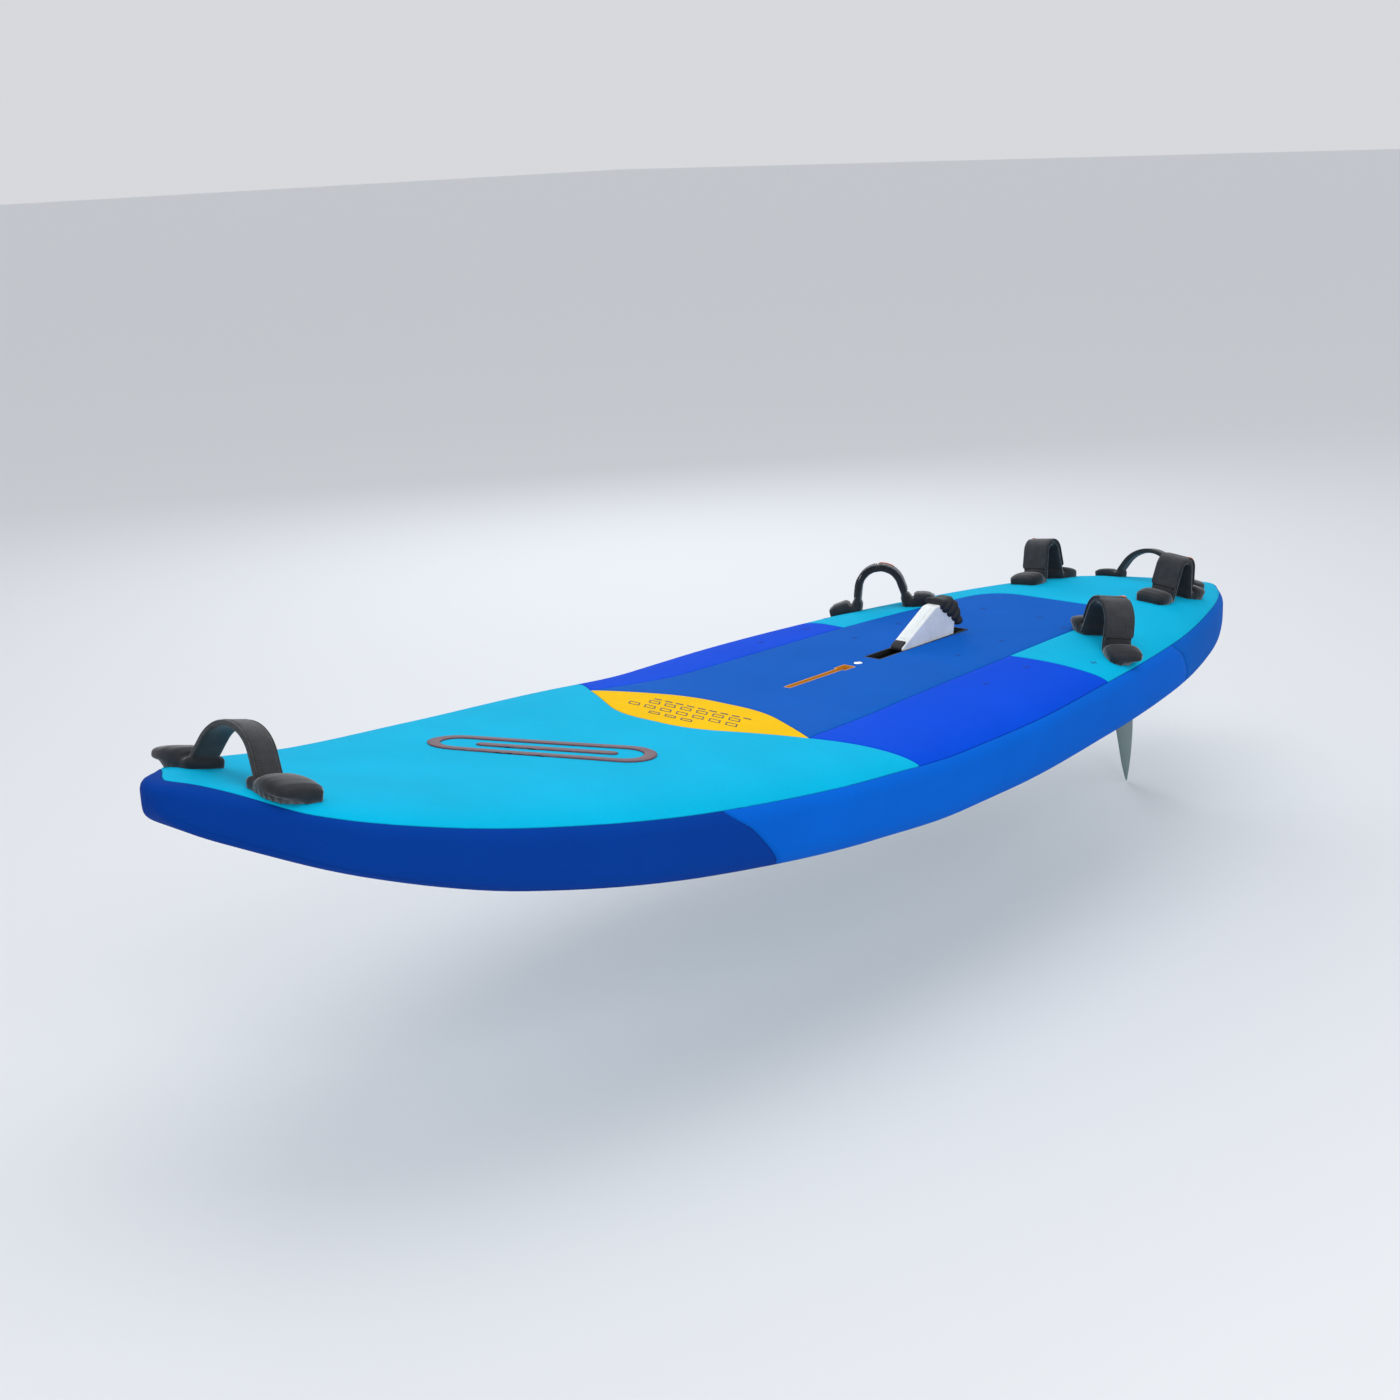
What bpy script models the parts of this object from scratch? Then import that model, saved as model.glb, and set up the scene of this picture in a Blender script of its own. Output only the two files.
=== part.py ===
"""Family windsurf board: soft-skinned hull, lever daggerboard, foot straps, carry handles and fin.

Frame: metres, +X port, -Y nose, +Y tail, +Z up. The origin is on the flat hull bottom at mid length.
Stations (s) are distances from the nose tip along the board, so y = s - LENGTH / 2.
"""
import math

import bmesh
import bpy
import numpy as np
from mathutils import Matrix, Vector

# ---------------------------------------------------------------- driving dimensions
LENGTH = 2.55
APEX_SHARE = 0.57          # height of the widest point, as a share of the local thickness
DECK_FLAT = 0.20           # share of the half width over which the deck is exactly flat
DECK_POWER = 2.8
BOTTOM_FLAT = 0.45
BOTTOM_POWER = 5.5
TIP_ROUND = 0.060          # length of the rounding of the nose and tail profile

SKIN = 0.005               # soft EVA skin over deck and rails
SKIN_RIM = 0.010           # the rail skin ends this far above the bottom
LAMINATE = 0.002
GAP = 0.0003               # clearance between touching pieces
RAIL_LINE = 0.009          # deck pads stop this far inboard of the widest point

# Shaper's tables: station, value
HALF_WIDTHS = [(0, 0), (0.043, 0.073), (0.171, 0.204), (0.373, 0.275), (0.638, 0.341), (0.945, 0.372),
               (1.275, 0.373), (1.605, 0.343), (1.913, 0.291), (2.177, 0.212), (2.379, 0.121),
               (2.507, 0.042), (2.55, 0)]
ROCKER = [(0, 0.246), (0.17, 0.165), (0.373, 0.097), (0.638, 0.049), (0.945, 0.015), (1.15, 0), (2.40, 0),
          (2.55, 0.010)]
THICKNESS = [(0, 0.057), (0.17, 0.096), (0.373, 0.122), (0.638, 0.136), (0.945, 0.145), (1.15, 0.147),
             (1.45, 0.147), (1.605, 0.146), (1.913, 0.138), (2.177, 0.126), (2.379, 0.095), (2.55, 0.050)]

# Plan outlines of the deck pads (x, station), port side only; each is mirrored
ACCENT_TIP = (0.228, 0.949)
ACCENT_FRONT = (0.075, 0.857)
ACCENT_REAR = (0.075, 1.023)
CENTRE_SIDE = [(0.218, 0.998), (0.198, 1.166), (0.179, 1.538), (0.163, 1.770)]
CENTRE_CORNER = (0.152, 1.955)
SIDE_FRONT = [(0.284, 0.987), (0.330, 1.015), (0.372, 1.042)]
SIDE_REAR = [(0.237, 1.554), (0.297, 1.573), (0.338, 1.598), (0.400, 1.640)]
# Rail seams in side view (station, z), from the deck line down to the bottom
NOSE_SEAM = [(0.640, 0.20), (0.640, 0.160), (0.690, 0.110), (0.730, 0.060), (0.750, 0.030), (0.760, 0)]
TAIL_SEAM = [(1.870, 0.16), (1.883, 0.104), (1.925, 0.075), (1.948, 0.045), (1.958, 0.020), (1.960, 0)]

# Emblem on the nose pad
EMBLEM_CENTRE = (0.02, 0.612)
EMBLEM_SIZE = (0.330, 0.090)
EMBLEM_STROKE = 0.014
EMBLEM_LEAN = 33

# Mast track
TRACK_START, TRACK_END = 1.168, 1.330
TRACK_SLOT = 0.012
TRACK_KEYHOLE = 0.025
TRACK_BODY = 0.050
TRACK_TOP = 0.1412
TRACK_FLOOR = 0.085

# Vent
VENT_STATION = 1.353
VENT_RADIUS = 0.0085

# Daggerboard, in side view (station, z)
PIVOT = (1.630, 0.108)
PIN_RADIUS = 0.004
BOSS_RADIUS = 0.022
HEAD_THICKNESS = 0.028
BLADE_THICKNESS = 0.014
GRIP_WIDTH = 0.040
CASE_INSIDE = 0.034
CASE_OUTSIDE = 0.040
REST_ANGLE = 28            # degrees the blade hangs below its stowed place
SLOT_START, SLOT_END = 1.390, 1.645
BLADE_SLOT_START, BLADE_SLOT_END = 1.550, 2.081

GRIP_CORE = [(1.574, 0.1840), (1.578, 0.2070), (1.599, 0.2065), (1.612, 0.1960), (1.615, 0.1690),
             (1.600, 0.1580), (1.586, 0.1710)]
GRIP_LINE = [(1.566, 0.1950), (1.568, 0.2150), (1.604, 0.2140), (1.622, 0.2010), (1.632, 0.1620),
             (1.617, 0.1590)]
HEAD_TOP = [(1.458, 0.1505), (1.553, 0.2035), (1.596, 0.2075), (1.610, 0.1960), (1.612, 0.1700),
            (1.607, 0.1400)]
HEAD_UNDERSIDE = [(1.610, 0.0920), (1.582, 0.1080), (1.530, 0.1340), (1.474, 0.1420), (1.458, 0.1450)]

# Fin
FIN_DEPTH = 0.295
FIN_ROOT = (2.118, 2.244)
FIN_THICKNESS = 0.010
FIN_BOX = (2.097, 2.265)
FIN_BOX_WIDTH = 0.036
FIN_BOX_HEIGHT = 0.045

# Foot straps: name, outer foot (x, station), inner foot (x, station); mirrored to starboard
STRAPS = [("front", (0.303, 1.691), (0.181, 1.780)), ("rear", (0.141, 2.072), (0.143, 2.192))]
STRAP_WIDTH = 0.054
STRAP_RISE = 0.076
STRAP_BEND = 0.014
STRAP_STEEP = 77           # degrees
WEBBING = 0.0024
SLEEVE = 0.0065
COVER = 0.0032
FOOT_LENGTH = 0.030
SCREW_HEAD = 0.008
SCREW_SHANK = 0.003
SCREW_LENGTH = 0.016

NOSE_HANDLE = ((0.104, 0.122), (-0.104, 0.122))
TAIL_HANDLE = ((0.093, 2.295), (-0.093, 2.295))

Y_SHIFT = -LENGTH / 2


# ---------------------------------------------------------------- scene helpers
def clear_scene():
    for old in list(bpy.data.objects):
        bpy.data.objects.remove(old, do_unlink=True)


def new_collection(name):
    collection = bpy.data.collections.new(name)
    bpy.context.scene.collection.children.link(collection)
    return collection


def material(name, color, roughness, metallic=0.0):
    made = bpy.data.materials.new(name)
    made.use_nodes = True
    shader = made.node_tree.nodes["Principled BSDF"]
    shader.inputs["Base Color"].default_value = (*color, 1.0)
    shader.inputs["Roughness"].default_value = roughness
    shader.inputs["Metallic"].default_value = metallic
    return made


def add_object(name, mesh, finish=None):
    made = bpy.data.objects.new(name, mesh)
    PARTS.objects.link(made)
    if finish:
        made.data.materials.clear()
        made.data.materials.append(finish)
    return made


def as_cutter(piece):
    PARTS.objects.unlink(piece)
    CUTTERS.objects.link(piece)
    piece.hide_render = True
    piece.display_type = "WIRE"
    return piece


def cut(piece, cutter, operation="DIFFERENCE"):
    modifier = piece.modifiers.new(operation.title(), "BOOLEAN")
    modifier.operation = operation
    modifier.object = cutter
    return piece


def baked_mesh(piece):
    """The piece's mesh with its modifiers applied; the piece itself is removed."""
    bpy.context.view_layer.update()
    evaluated = piece.evaluated_get(bpy.context.evaluated_depsgraph_get())
    mesh = bpy.data.meshes.new_from_object(evaluated)
    bpy.data.objects.remove(piece, do_unlink=True)
    return mesh


def mesh_from_bmesh(name, bm):
    bmesh.ops.recalc_face_normals(bm, faces=bm.faces)
    if bm.calc_volume(signed=True) < 0:
        bmesh.ops.reverse_faces(bm, faces=bm.faces)
    mesh = bpy.data.meshes.new(name)
    bm.to_mesh(mesh)
    bm.free()
    return mesh


def mirrored_copy(piece, name, finish):
    """A starboard twin of a finished port piece."""
    bpy.context.view_layer.update()
    evaluated = piece.evaluated_get(bpy.context.evaluated_depsgraph_get())
    bm = bmesh.new()
    bm.from_mesh(evaluated.to_mesh())
    evaluated.to_mesh_clear()
    for vert in bm.verts:
        vert.co.x = -vert.co.x
    return add_object(name, mesh_from_bmesh(name, bm), finish)


def smooth(piece, degrees=35):
    piece.data.shade_smooth()
    piece.data.set_sharp_from_angle(angle=math.radians(degrees))
    return piece


# ---------------------------------------------------------------- curves through tables
def monotone_curve(table):
    """A smooth curve through the table that never overshoots (monotone cubic)."""
    xs = np.array([row[0] for row in table], float)
    ys = np.array([row[1] for row in table], float)
    step = np.diff(xs)
    slope = np.diff(ys) / step
    tangent = np.zeros(len(xs))
    tangent[0], tangent[-1] = slope[0], slope[-1]
    for i in range(1, len(xs) - 1):
        if slope[i - 1] * slope[i] > 0:
            before, after = 2 * step[i] + step[i - 1], step[i] + 2 * step[i - 1]
            tangent[i] = (before + after) / (before / slope[i - 1] + after / slope[i])

    def value(x):
        i = int(np.clip(np.searchsorted(xs, x) - 1, 0, len(xs) - 2))
        t = (x - xs[i]) / step[i]
        return (ys[i] * (1 + 2 * t) * (1 - t) ** 2 + tangent[i] * step[i] * t * (1 - t) ** 2
                + ys[i + 1] * t * t * (3 - 2 * t) + tangent[i + 1] * step[i] * t * t * (t - 1))

    return value


def swept_angle(station):
    """Turns stations into an angle, in which a round end is a straight line."""
    return math.acos(min(1.0, max(-1.0, 1 - 2 * station / LENGTH)))


WIDTH_CURVE = monotone_curve([(swept_angle(s), w) for s, w in HALF_WIDTHS])
ROCKER_CURVE = monotone_curve(ROCKER)
THICKNESS_CURVE = monotone_curve(THICKNESS)


def half_width(station):
    return WIDTH_CURVE(swept_angle(station))


def end_round(station):
    """Brings the profile down to a point over the last TIP_ROUND of the nose and tail."""
    reach = min(station, LENGTH - station)
    if reach >= TIP_ROUND:
        return 1.0
    return (1 - (1 - reach / TIP_ROUND) ** 3) ** (1 / 3)


def apex_height(station):
    return ROCKER_CURVE(station) + APEX_SHARE * THICKNESS_CURVE(station)


def crown(share, flat, power):
    """Height of a section over its widest point: 1 in the middle, 0 at the rail."""
    beyond = max(0.0, (share - flat) / (1 - flat))
    return max(0.0, 1 - beyond ** power) ** (1 / power)


def deck_height(x, station):
    rise = (1 - APEX_SHARE) * THICKNESS_CURVE(station) * end_round(station)
    share = min(1.0, abs(x) / max(half_width(station), 1e-6))
    return apex_height(station) + rise * crown(share, DECK_FLAT, DECK_POWER)


# ---------------------------------------------------------------- lofted hull solids
FINE_UP = [0, 0.2, 0.45, 0.63, 0.78, 0.88, 0.95, 0.985, 1]
FINE_DOWN = [1, 0.985, 0.94, 0.85, 0.7, 0.45, 0]
FINE_RINGS = 32
TIP_START = 0.0006         # the outer skin's first ring, from the tip
INNER_START = 0.0065       # the inner solids start this far in, plus their inset
CAP_SHRINK = 60            # how much smaller their end caps are, per metre of inset
COARSE_RINGS = 24
COARSE_UP = [0, 0.2, 0.5, 0.75, 0.9, 0.975, 1]
COARSE_DOWN = [1, 0.975, 0.9, 0.45, 0]


def hull_section(station, inset, up_shares, down_shares, part):
    """One closed section, port to starboard over the deck and back under the bottom."""
    side, top, bottom = inset
    width = half_width(station) - side
    ending = end_round(station)
    middle = apex_height(station)
    rise = (1 - APEX_SHARE) * THICKNESS_CURVE(station) * ending - top
    fall = APEX_SHARE * THICKNESS_CURVE(station) * ending - bottom
    over = [(share * width, middle + rise * crown(share, DECK_FLAT, DECK_POWER)) for share in up_shares]
    under = [(share * width, middle - fall * crown(share, BOTTOM_FLAT, BOTTOM_POWER))
             for share in down_shares]
    if part == "upper":
        over = [(x, z + (GAP / 2 if x == over[-1][0] else 0)) for x, z in over]
        half = over
    elif part == "lower":
        under = [(x, z - (GAP / 2 if x == under[0][0] else 0)) for x, z in under]
        half = under
    else:
        half = over + under[1:]
    mirrored = [(-x, z) for x, z in reversed(half) if x > 0]
    return half + mirrored


def loft_stations(inset, count):
    """Stations of a loft, closest together at the nose and the tail. Nested solids share all but the
    ends, which start further in the deeper the solid lies."""
    start = TIP_START if inset[0] <= 0 else INNER_START + inset[0]
    margin = 0.0 if inset[0] <= 0 else 0.010
    shared = [LENGTH * (1 - math.cos(math.pi * i / count)) / 2 for i in range(count + 1)]
    return [start] + [s for s in shared if start + margin < s < LENGTH - start - margin] + [LENGTH - start]


def hull_mesh(name, inset, count, up_shares, down_shares, part="full"):
    """A closed loft of the board, drawn in by inset = (at the sides, from the top, from the bottom)."""
    bm = bmesh.new()
    rings = []
    stations = loft_stations(inset, count)
    for station in stations:
        section = hull_section(station, inset, up_shares, down_shares, part)
        if station in (stations[0], stations[-1]):
            keep = 1 - CAP_SHRINK * max(0.0, inset[0])
            middle = apex_height(station)
            section = [(x * keep, middle + (z - middle) * keep) for x, z in section]
        rings.append([bm.verts.new((x, station + Y_SHIFT, z)) for x, z in section])
    size = len(rings[0])
    for ring, following in zip(rings, rings[1:]):
        for j in range(size):
            k = (j + 1) % size
            # Nested solids keep their gap only if their bent quads are all split the same way.
            if section[j][0] >= 0 and section[k][0] >= 0:
                bm.faces.new((ring[j], ring[k], following[k]))
                bm.faces.new((ring[j], following[k], following[j]))
            else:
                bm.faces.new((ring[j], ring[k], following[j]))
                bm.faces.new((ring[k], following[k], following[j]))
    bm.faces.new(rings[0])
    bm.faces.new(rings[-1])
    return mesh_from_bmesh(name, bm)


# ---------------------------------------------------------------- plates, rods and bands
def plate_mesh(name, outline, low, high, plane="plan"):
    """An outline with thickness. In plan it is (x, station) and rises in z; in side view it is
    (station, z) and runs across in x."""
    bm = bmesh.new()
    if plane == "plan":
        verts = [bm.verts.new((x, s + Y_SHIFT, low)) for x, s in outline]
        travel = (0, 0, high - low)
    else:
        verts = [bm.verts.new((low, s + Y_SHIFT, z)) for s, z in outline]
        travel = (high - low, 0, 0)
    face = bm.faces.new(verts)
    grown = bmesh.ops.extrude_face_region(bm, geom=[face])
    bmesh.ops.translate(bm, vec=travel, verts=[v for v in grown["geom"] if isinstance(v, bmesh.types.BMVert)])
    return mesh_from_bmesh(name, bm)


def rectangle(half_x, start, end):
    return [(half_x, start), (half_x, end), (-half_x, end), (-half_x, start)]


def grown_outline(outline, amount):
    """The outline moved outward by amount, with mitred corners."""
    points = [Vector(p) for p in outline]
    area = sum(a.x * b.y - b.x * a.y for a, b in zip(points, points[1:] + points[:1]))
    turn = 1 if area > 0 else -1
    result = []
    for i, here in enumerate(points):
        back = (here - points[i - 1]).normalized()
        ahead = (points[(i + 1) % len(points)] - here).normalized()
        n1 = Vector((back.y, -back.x)) * turn
        n2 = Vector((ahead.y, -ahead.x)) * turn
        bisector = (n1 + n2).normalized()
        result.append(tuple(here + bisector * (amount / max(0.3, bisector.dot(n1)))))
    return result


def rounded_corner(before, corner, after, reach, steps=5):
    """Points of a soft corner (a parabola between its two tangents)."""
    a, b, c = Vector(before), Vector(corner), Vector(after)
    start = b + (a - b).normalized() * reach
    end = b + (c - b).normalized() * reach
    points = []
    for i in range(steps + 1):
        t = i / steps
        points.append(tuple(start * (1 - t) ** 2 + b * 2 * t * (1 - t) + end * t * t))
    return points


def mirrored_outline(port_points):
    """Closes a port-side line, given from front to back, with its mirror image."""
    return list(port_points) + [(-x, s) for x, s in reversed(port_points) if x > 1e-6]


def turned(name, profile, finish, segments=16, ring=False):
    """A turned piece about Z: the profile (radius, z) runs from top to bottom; a ring's is closed."""
    mesh = bpy.data.meshes.new(name)
    edges = [(i, i + 1) for i in range(len(profile) - 1)]
    if ring:
        edges.append((len(profile) - 1, 0))
    mesh.from_pydata([(r, 0, z) for r, z in profile], edges, [])
    piece = add_object(name, mesh, finish)
    screw = piece.modifiers.new("Screw", "SCREW")
    screw.steps = segments
    screw.render_steps = segments
    screw.use_merge_vertices = True
    screw.merge_threshold = 0.00005
    screw.use_smooth_shade = False
    return piece


def place(piece, position, up=Vector((0, 0, 1))):
    piece.matrix_world = Matrix.Translation(position) @ up.to_track_quat("Z", "Y").to_matrix().to_4x4()
    return piece


def across(piece, station, z):
    """Puts a piece turned about Z on a line across the board."""
    return place(piece, Vector((0, station + Y_SHIFT, z)), Vector((1, 0, 0)))


# ---------------------------------------------------------------- strap geometry
def arch_path(straight, bend, leg, crown_radius, steep, foot=FOOT_LENGTH):
    """Side view of a strap: flat foot, bend up, leg, round crown, leg, bend down, flat foot."""
    turns = [(foot, 0, 1), (bend * steep, steep, 3), (leg, 0, 2), (crown_radius * steep, -steep, 5),
             (straight, 0, 1), (crown_radius * steep, -steep, 5), (leg, 0, 2), (bend * steep, steep, 3),
             (foot, 0, 1)]
    heading, u, h = 0.0, 0.0, 0.0
    points = [(0.0, 0.0, 0.0)]
    for length, turning, pieces in turns:
        for _ in range(pieces):
            middle = heading + turning / pieces / 2
            u += math.cos(middle) * length / pieces
            h += math.sin(middle) * length / pieces
            heading += turning / pieces
            points.append((u, h, heading))
    centre = u / 2
    return [(u - centre, h, heading) for u, h, heading in points]


class Arch:
    """A strap standing on the deck between an outer and an inner foot."""

    def __init__(self, outer, inner, width, rise, bend, steep_degrees, foot):
        steep = math.radians(steep_degrees)
        a = Vector((outer[0], outer[1] + Y_SHIFT, deck_height(*outer)))
        b = Vector((inner[0], inner[1] + Y_SHIFT, deck_height(*inner)))
        self.span = (b - a).length
        crown_radius, leg = self.fitted(self.span, rise, bend, steep, foot)
        self.path = arch_path(0.001, bend, leg, crown_radius, steep, foot)
        self.width = width
        self.along = (b - a).normalized()
        flat = Vector((-self.along.y, self.along.x, 0)).normalized()
        centre = (a + b) / 2
        ahead = centre + flat * width / 2
        behind = centre - flat * width / 2
        tilt = deck_height(ahead.x, ahead.y - Y_SHIFT) - deck_height(behind.x, behind.y - Y_SHIFT)
        self.sideways = Vector((flat.x * width, flat.y * width, tilt)).normalized()
        self.up = self.along.cross(self.sideways).normalized()
        self.sideways = self.up.cross(self.along).normalized()
        self.origin = centre
        lowest = min(self.clearance(u, side) for u, side in self.foot_corners(foot))
        self.origin = centre + Vector((0, 0, 0.0006 - lowest))

    @staticmethod
    def fitted(span, rise, bend, steep, foot):
        """Crown radius and leg length that give the wanted span between foot centres and rise."""
        reach = span - foot
        leg = 0.0
        for _ in range(60):
            radius = (reach - 2 * bend * math.sin(steep) - 2 * leg * math.cos(steep)) / (2 * math.sin(steep))
            height = (bend + radius) * (1 - math.cos(steep)) + leg * math.sin(steep)
            leg += (rise - height) * 0.7
        return radius, leg

    def foot_corners(self, foot):
        end = self.path[-1][0]
        ends = (-end, -end + foot, end - foot, end)
        return [(u, side) for u in ends for side in (-0.5, -0.25, 0, 0.25, 0.5)]

    def clearance(self, u, side):
        spot = self.origin + self.along * u + self.sideways * (side * self.width)
        return spot.z - deck_height(spot.x, spot.y - Y_SHIFT)

    def spot(self, index, offset, side, width):
        """A point over path point index: offset outward from the webbing's underside."""
        u, h, heading = self.path[index]
        u -= math.sin(heading) * offset
        h += math.cos(heading) * offset
        return self.origin + self.along * u + self.up * h + self.sideways * (side * width)

    def band(self, name, first, last, low, high, width, finish):
        """A strip of the strap from path point first to last, between two offsets."""
        bm = bmesh.new()
        rings = []
        for index in range(first, last + 1):
            corners = [(low, -0.5), (low, 0.5), (high, 0.5), (high, -0.5)]
            rings.append([bm.verts.new(self.spot(index, offset, side, width)) for offset, side in corners])
        for ring, following in zip(rings, rings[1:]):
            for j in range(4):
                k = (j + 1) % 4
                bm.faces.new((ring[j], ring[k], following[k], following[j]))
        bm.faces.new(rings[0])
        bm.faces.new(rings[-1])
        return add_object(name, mesh_from_bmesh(name, bm), finish)

    def foot_centre(self, which, foot):
        end = self.path[-1][0] - foot / 2
        return self.origin + self.along * (end * which)


def screw_piece(name, arch, which, foot, top, finish):
    """A pan-head screw on a strap foot; top is the height of the clamped webbing."""
    seat = arch.foot_centre(which, foot) + arch.up * (top + 2 * GAP)
    profile = [(0, 0.0028), (0.0045, 0.0025), (SCREW_HEAD, 0.0008), (SCREW_HEAD, 0), (SCREW_SHANK, 0),
               (SCREW_SHANK, -SCREW_LENGTH), (0, -SCREW_LENGTH - 0.002)]
    return place(turned(name, profile, finish, 10), seat, arch.up)


def screw_cutter(arch, which, foot):
    """A clearance hole for one screw, through webbing, skin, laminate and foam."""
    radius = SCREW_SHANK + 0.0006
    bm = bmesh.new()
    bmesh.ops.create_cone(bm, cap_ends=True, segments=10, radius1=radius, radius2=radius, depth=0.040)
    spin = arch.up.to_track_quat("Z", "Y").to_matrix().to_4x4()
    bm.transform(Matrix.Translation(arch.foot_centre(which, foot) - arch.up * 0.006) @ spin)
    return bm


# ---------------------------------------------------------------- hull and skin
def build_hull(finishes):
    """Foam core and the two laminate halves; returns them with the mesh of the soft skin."""
    core_inset = SKIN + 2 * GAP + LAMINATE
    core_mesh = hull_mesh("foam_core", (core_inset, core_inset, LAMINATE + GAP), COARSE_RINGS, COARSE_UP,
                          COARSE_DOWN)
    core = add_object("foam_core", core_mesh, finishes["foam"])
    inner_inset = core_inset - GAP
    inner_mesh = hull_mesh("laminate_inside", (inner_inset, inner_inset, LAMINATE), COARSE_RINGS, COARSE_UP,
                           COARSE_DOWN)
    inner = as_cutter(add_object("laminate_inside", inner_mesh))
    shells = []
    for name, part, finish in (("deck_shell", "upper", "laminate"), ("hull_shell", "lower", "bottom")):
        shell_mesh = hull_mesh(name, (SKIN + GAP, SKIN + GAP, 0), COARSE_RINGS, COARSE_UP, COARSE_DOWN, part)
        shells.append(cut(add_object(name, shell_mesh, finishes[finish]), inner))
    outer = add_object("skin", hull_mesh("skin", (0, 0, 0), FINE_RINGS, FINE_UP, FINE_DOWN))
    inside = hull_mesh("skin_inside", (SKIN, SKIN, 0.0001), COARSE_RINGS, COARSE_UP, COARSE_DOWN)
    skin_mesh = baked_mesh(cut(outer, as_cutter(add_object("skin_inside", inside))))
    return core, shells[0], shells[1], skin_mesh


def deck_outline():
    """The line where the deck pads meet the rails, from the nose round to the tail on port."""
    ring = loft_stations((SKIN, SKIN, 0.0001), COARSE_RINGS)
    return [(half_width(s) - RAIL_LINE, s) for s in ring if half_width(s) > RAIL_LINE + 0.030]


def accent_outline():
    """Front and rear edges of the accent pad, each from the middle out towards its port tip."""
    front = rounded_corner((0, ACCENT_FRONT[1]), ACCENT_FRONT, ACCENT_TIP, 0.050)
    rear = rounded_corner((0, ACCENT_REAR[1]), ACCENT_REAR, ACCENT_TIP, 0.050)
    return front, rear


def pad_outlines():
    """Plan outlines of the deck pads; the rail line trims those that run past it."""
    front, rear = accent_outline()
    aft_corner = rounded_corner(CENTRE_SIDE[-1], CENTRE_CORNER, (0, CENTRE_CORNER[1] + 0.004), 0.075)
    accent = front + [ACCENT_TIP] + list(reversed(rear))
    centre = rear + [ACCENT_TIP] + CENTRE_SIDE + aft_corner
    side = [ACCENT_TIP] + SIDE_FRONT + [(0.45, 1.10), (0.45, 1.60)] + list(reversed(SIDE_REAR))
    side += [CENTRE_SIDE[2], CENTRE_SIDE[1], CENTRE_SIDE[0]]
    nose = [(0.45, -0.1), (0.45, 1.06)] + list(reversed(SIDE_FRONT)) + [ACCENT_TIP] + list(reversed(front))
    tail = list(reversed(aft_corner)) + [CENTRE_SIDE[3], CENTRE_SIDE[2]] + SIDE_REAR
    tail += [(0.45, 1.70), (0.45, LENGTH + 0.1)]
    return {"nose_pad": mirrored_outline(nose), "accent_pad": mirrored_outline(accent),
            "centre_pad": mirrored_outline(centre), "side_pad_port": side,
            "tail_pad": mirrored_outline(tail)}


def build_skin(skin_mesh, finishes):
    """Deck pads and rail pieces, all cut from the one soft skin."""
    line = mirrored_outline(deck_outline())
    inside = as_cutter(add_object("deck_line", plate_mesh("deck_line", line, -0.05, 0.4)))
    outside = plate_mesh("rail_line", grown_outline(line, GAP), 0.02, 0.4)
    outside = as_cutter(add_object("rail_line", outside))
    above = hull_mesh("over_apex", (-0.02, -0.02, 0), COARSE_RINGS, COARSE_UP, COARSE_DOWN, "upper")
    above = as_cutter(add_object("over_apex", above))
    rim = hull_mesh("over_rim", (-0.02, -0.02, SKIN_RIM), COARSE_RINGS, COARSE_UP, COARSE_DOWN)
    rim = as_cutter(add_object("over_rim", rim))
    pieces = {}
    for name, outline in pad_outlines().items():
        finish = finishes[name.replace("_port", "").replace("_starboard", "")]
        pad = add_object(name, skin_mesh.copy(), finish)
        prism = plate_mesh(name + "_outline", grown_outline(outline, -GAP / 2), -0.1, 0.42)
        cut(pad, as_cutter(add_object(name + "_outline", prism)), "INTERSECT")
        if name in ("nose_pad", "side_pad_port", "tail_pad"):
            cut(pad, inside, "INTERSECT")
        pieces[name] = cut(pad, above, "INTERSECT")
    pieces["side_pad_starboard"] = mirrored_copy(pieces["side_pad_port"], "side_pad_starboard",
                                                 finishes["side_pad"])
    nose_end = [(NOSE_SEAM[0][0], 0.5)] + NOSE_SEAM + [(NOSE_SEAM[-1][0], -0.1)]
    tail_end = [(TAIL_SEAM[0][0], 0.5)] + TAIL_SEAM + [(TAIL_SEAM[-1][0], -0.1)]
    seams = {"nose_rail": ([(-0.1, 0.5)] + nose_end + [(-0.1, -0.1)], -0.6, 0.6),
             "tail_rail": (tail_end + [(LENGTH + 0.1, -0.1), (LENGTH + 0.1, 0.5)], -0.6, 0.6)}
    for side, low, high in (("port", 0.0, 0.6), ("starboard", -0.6, 0.0)):
        seams["mid_rail_" + side] = (nose_end + list(reversed(tail_end)), low, high)
    for name, (outline, low, high) in seams.items():
        finish = finishes[name.replace("_port", "").replace("_starboard", "")]
        rail = add_object(name, skin_mesh.copy(), finish)
        cut(rail, rim, "INTERSECT")
        cut(rail, outside)
        prism = plate_mesh(name + "_outline", grown_outline(outline, -GAP / 2), low, high, "side")
        pieces[name] = cut(rail, as_cutter(add_object(name + "_outline", prism)), "INTERSECT")
    return pieces


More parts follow.
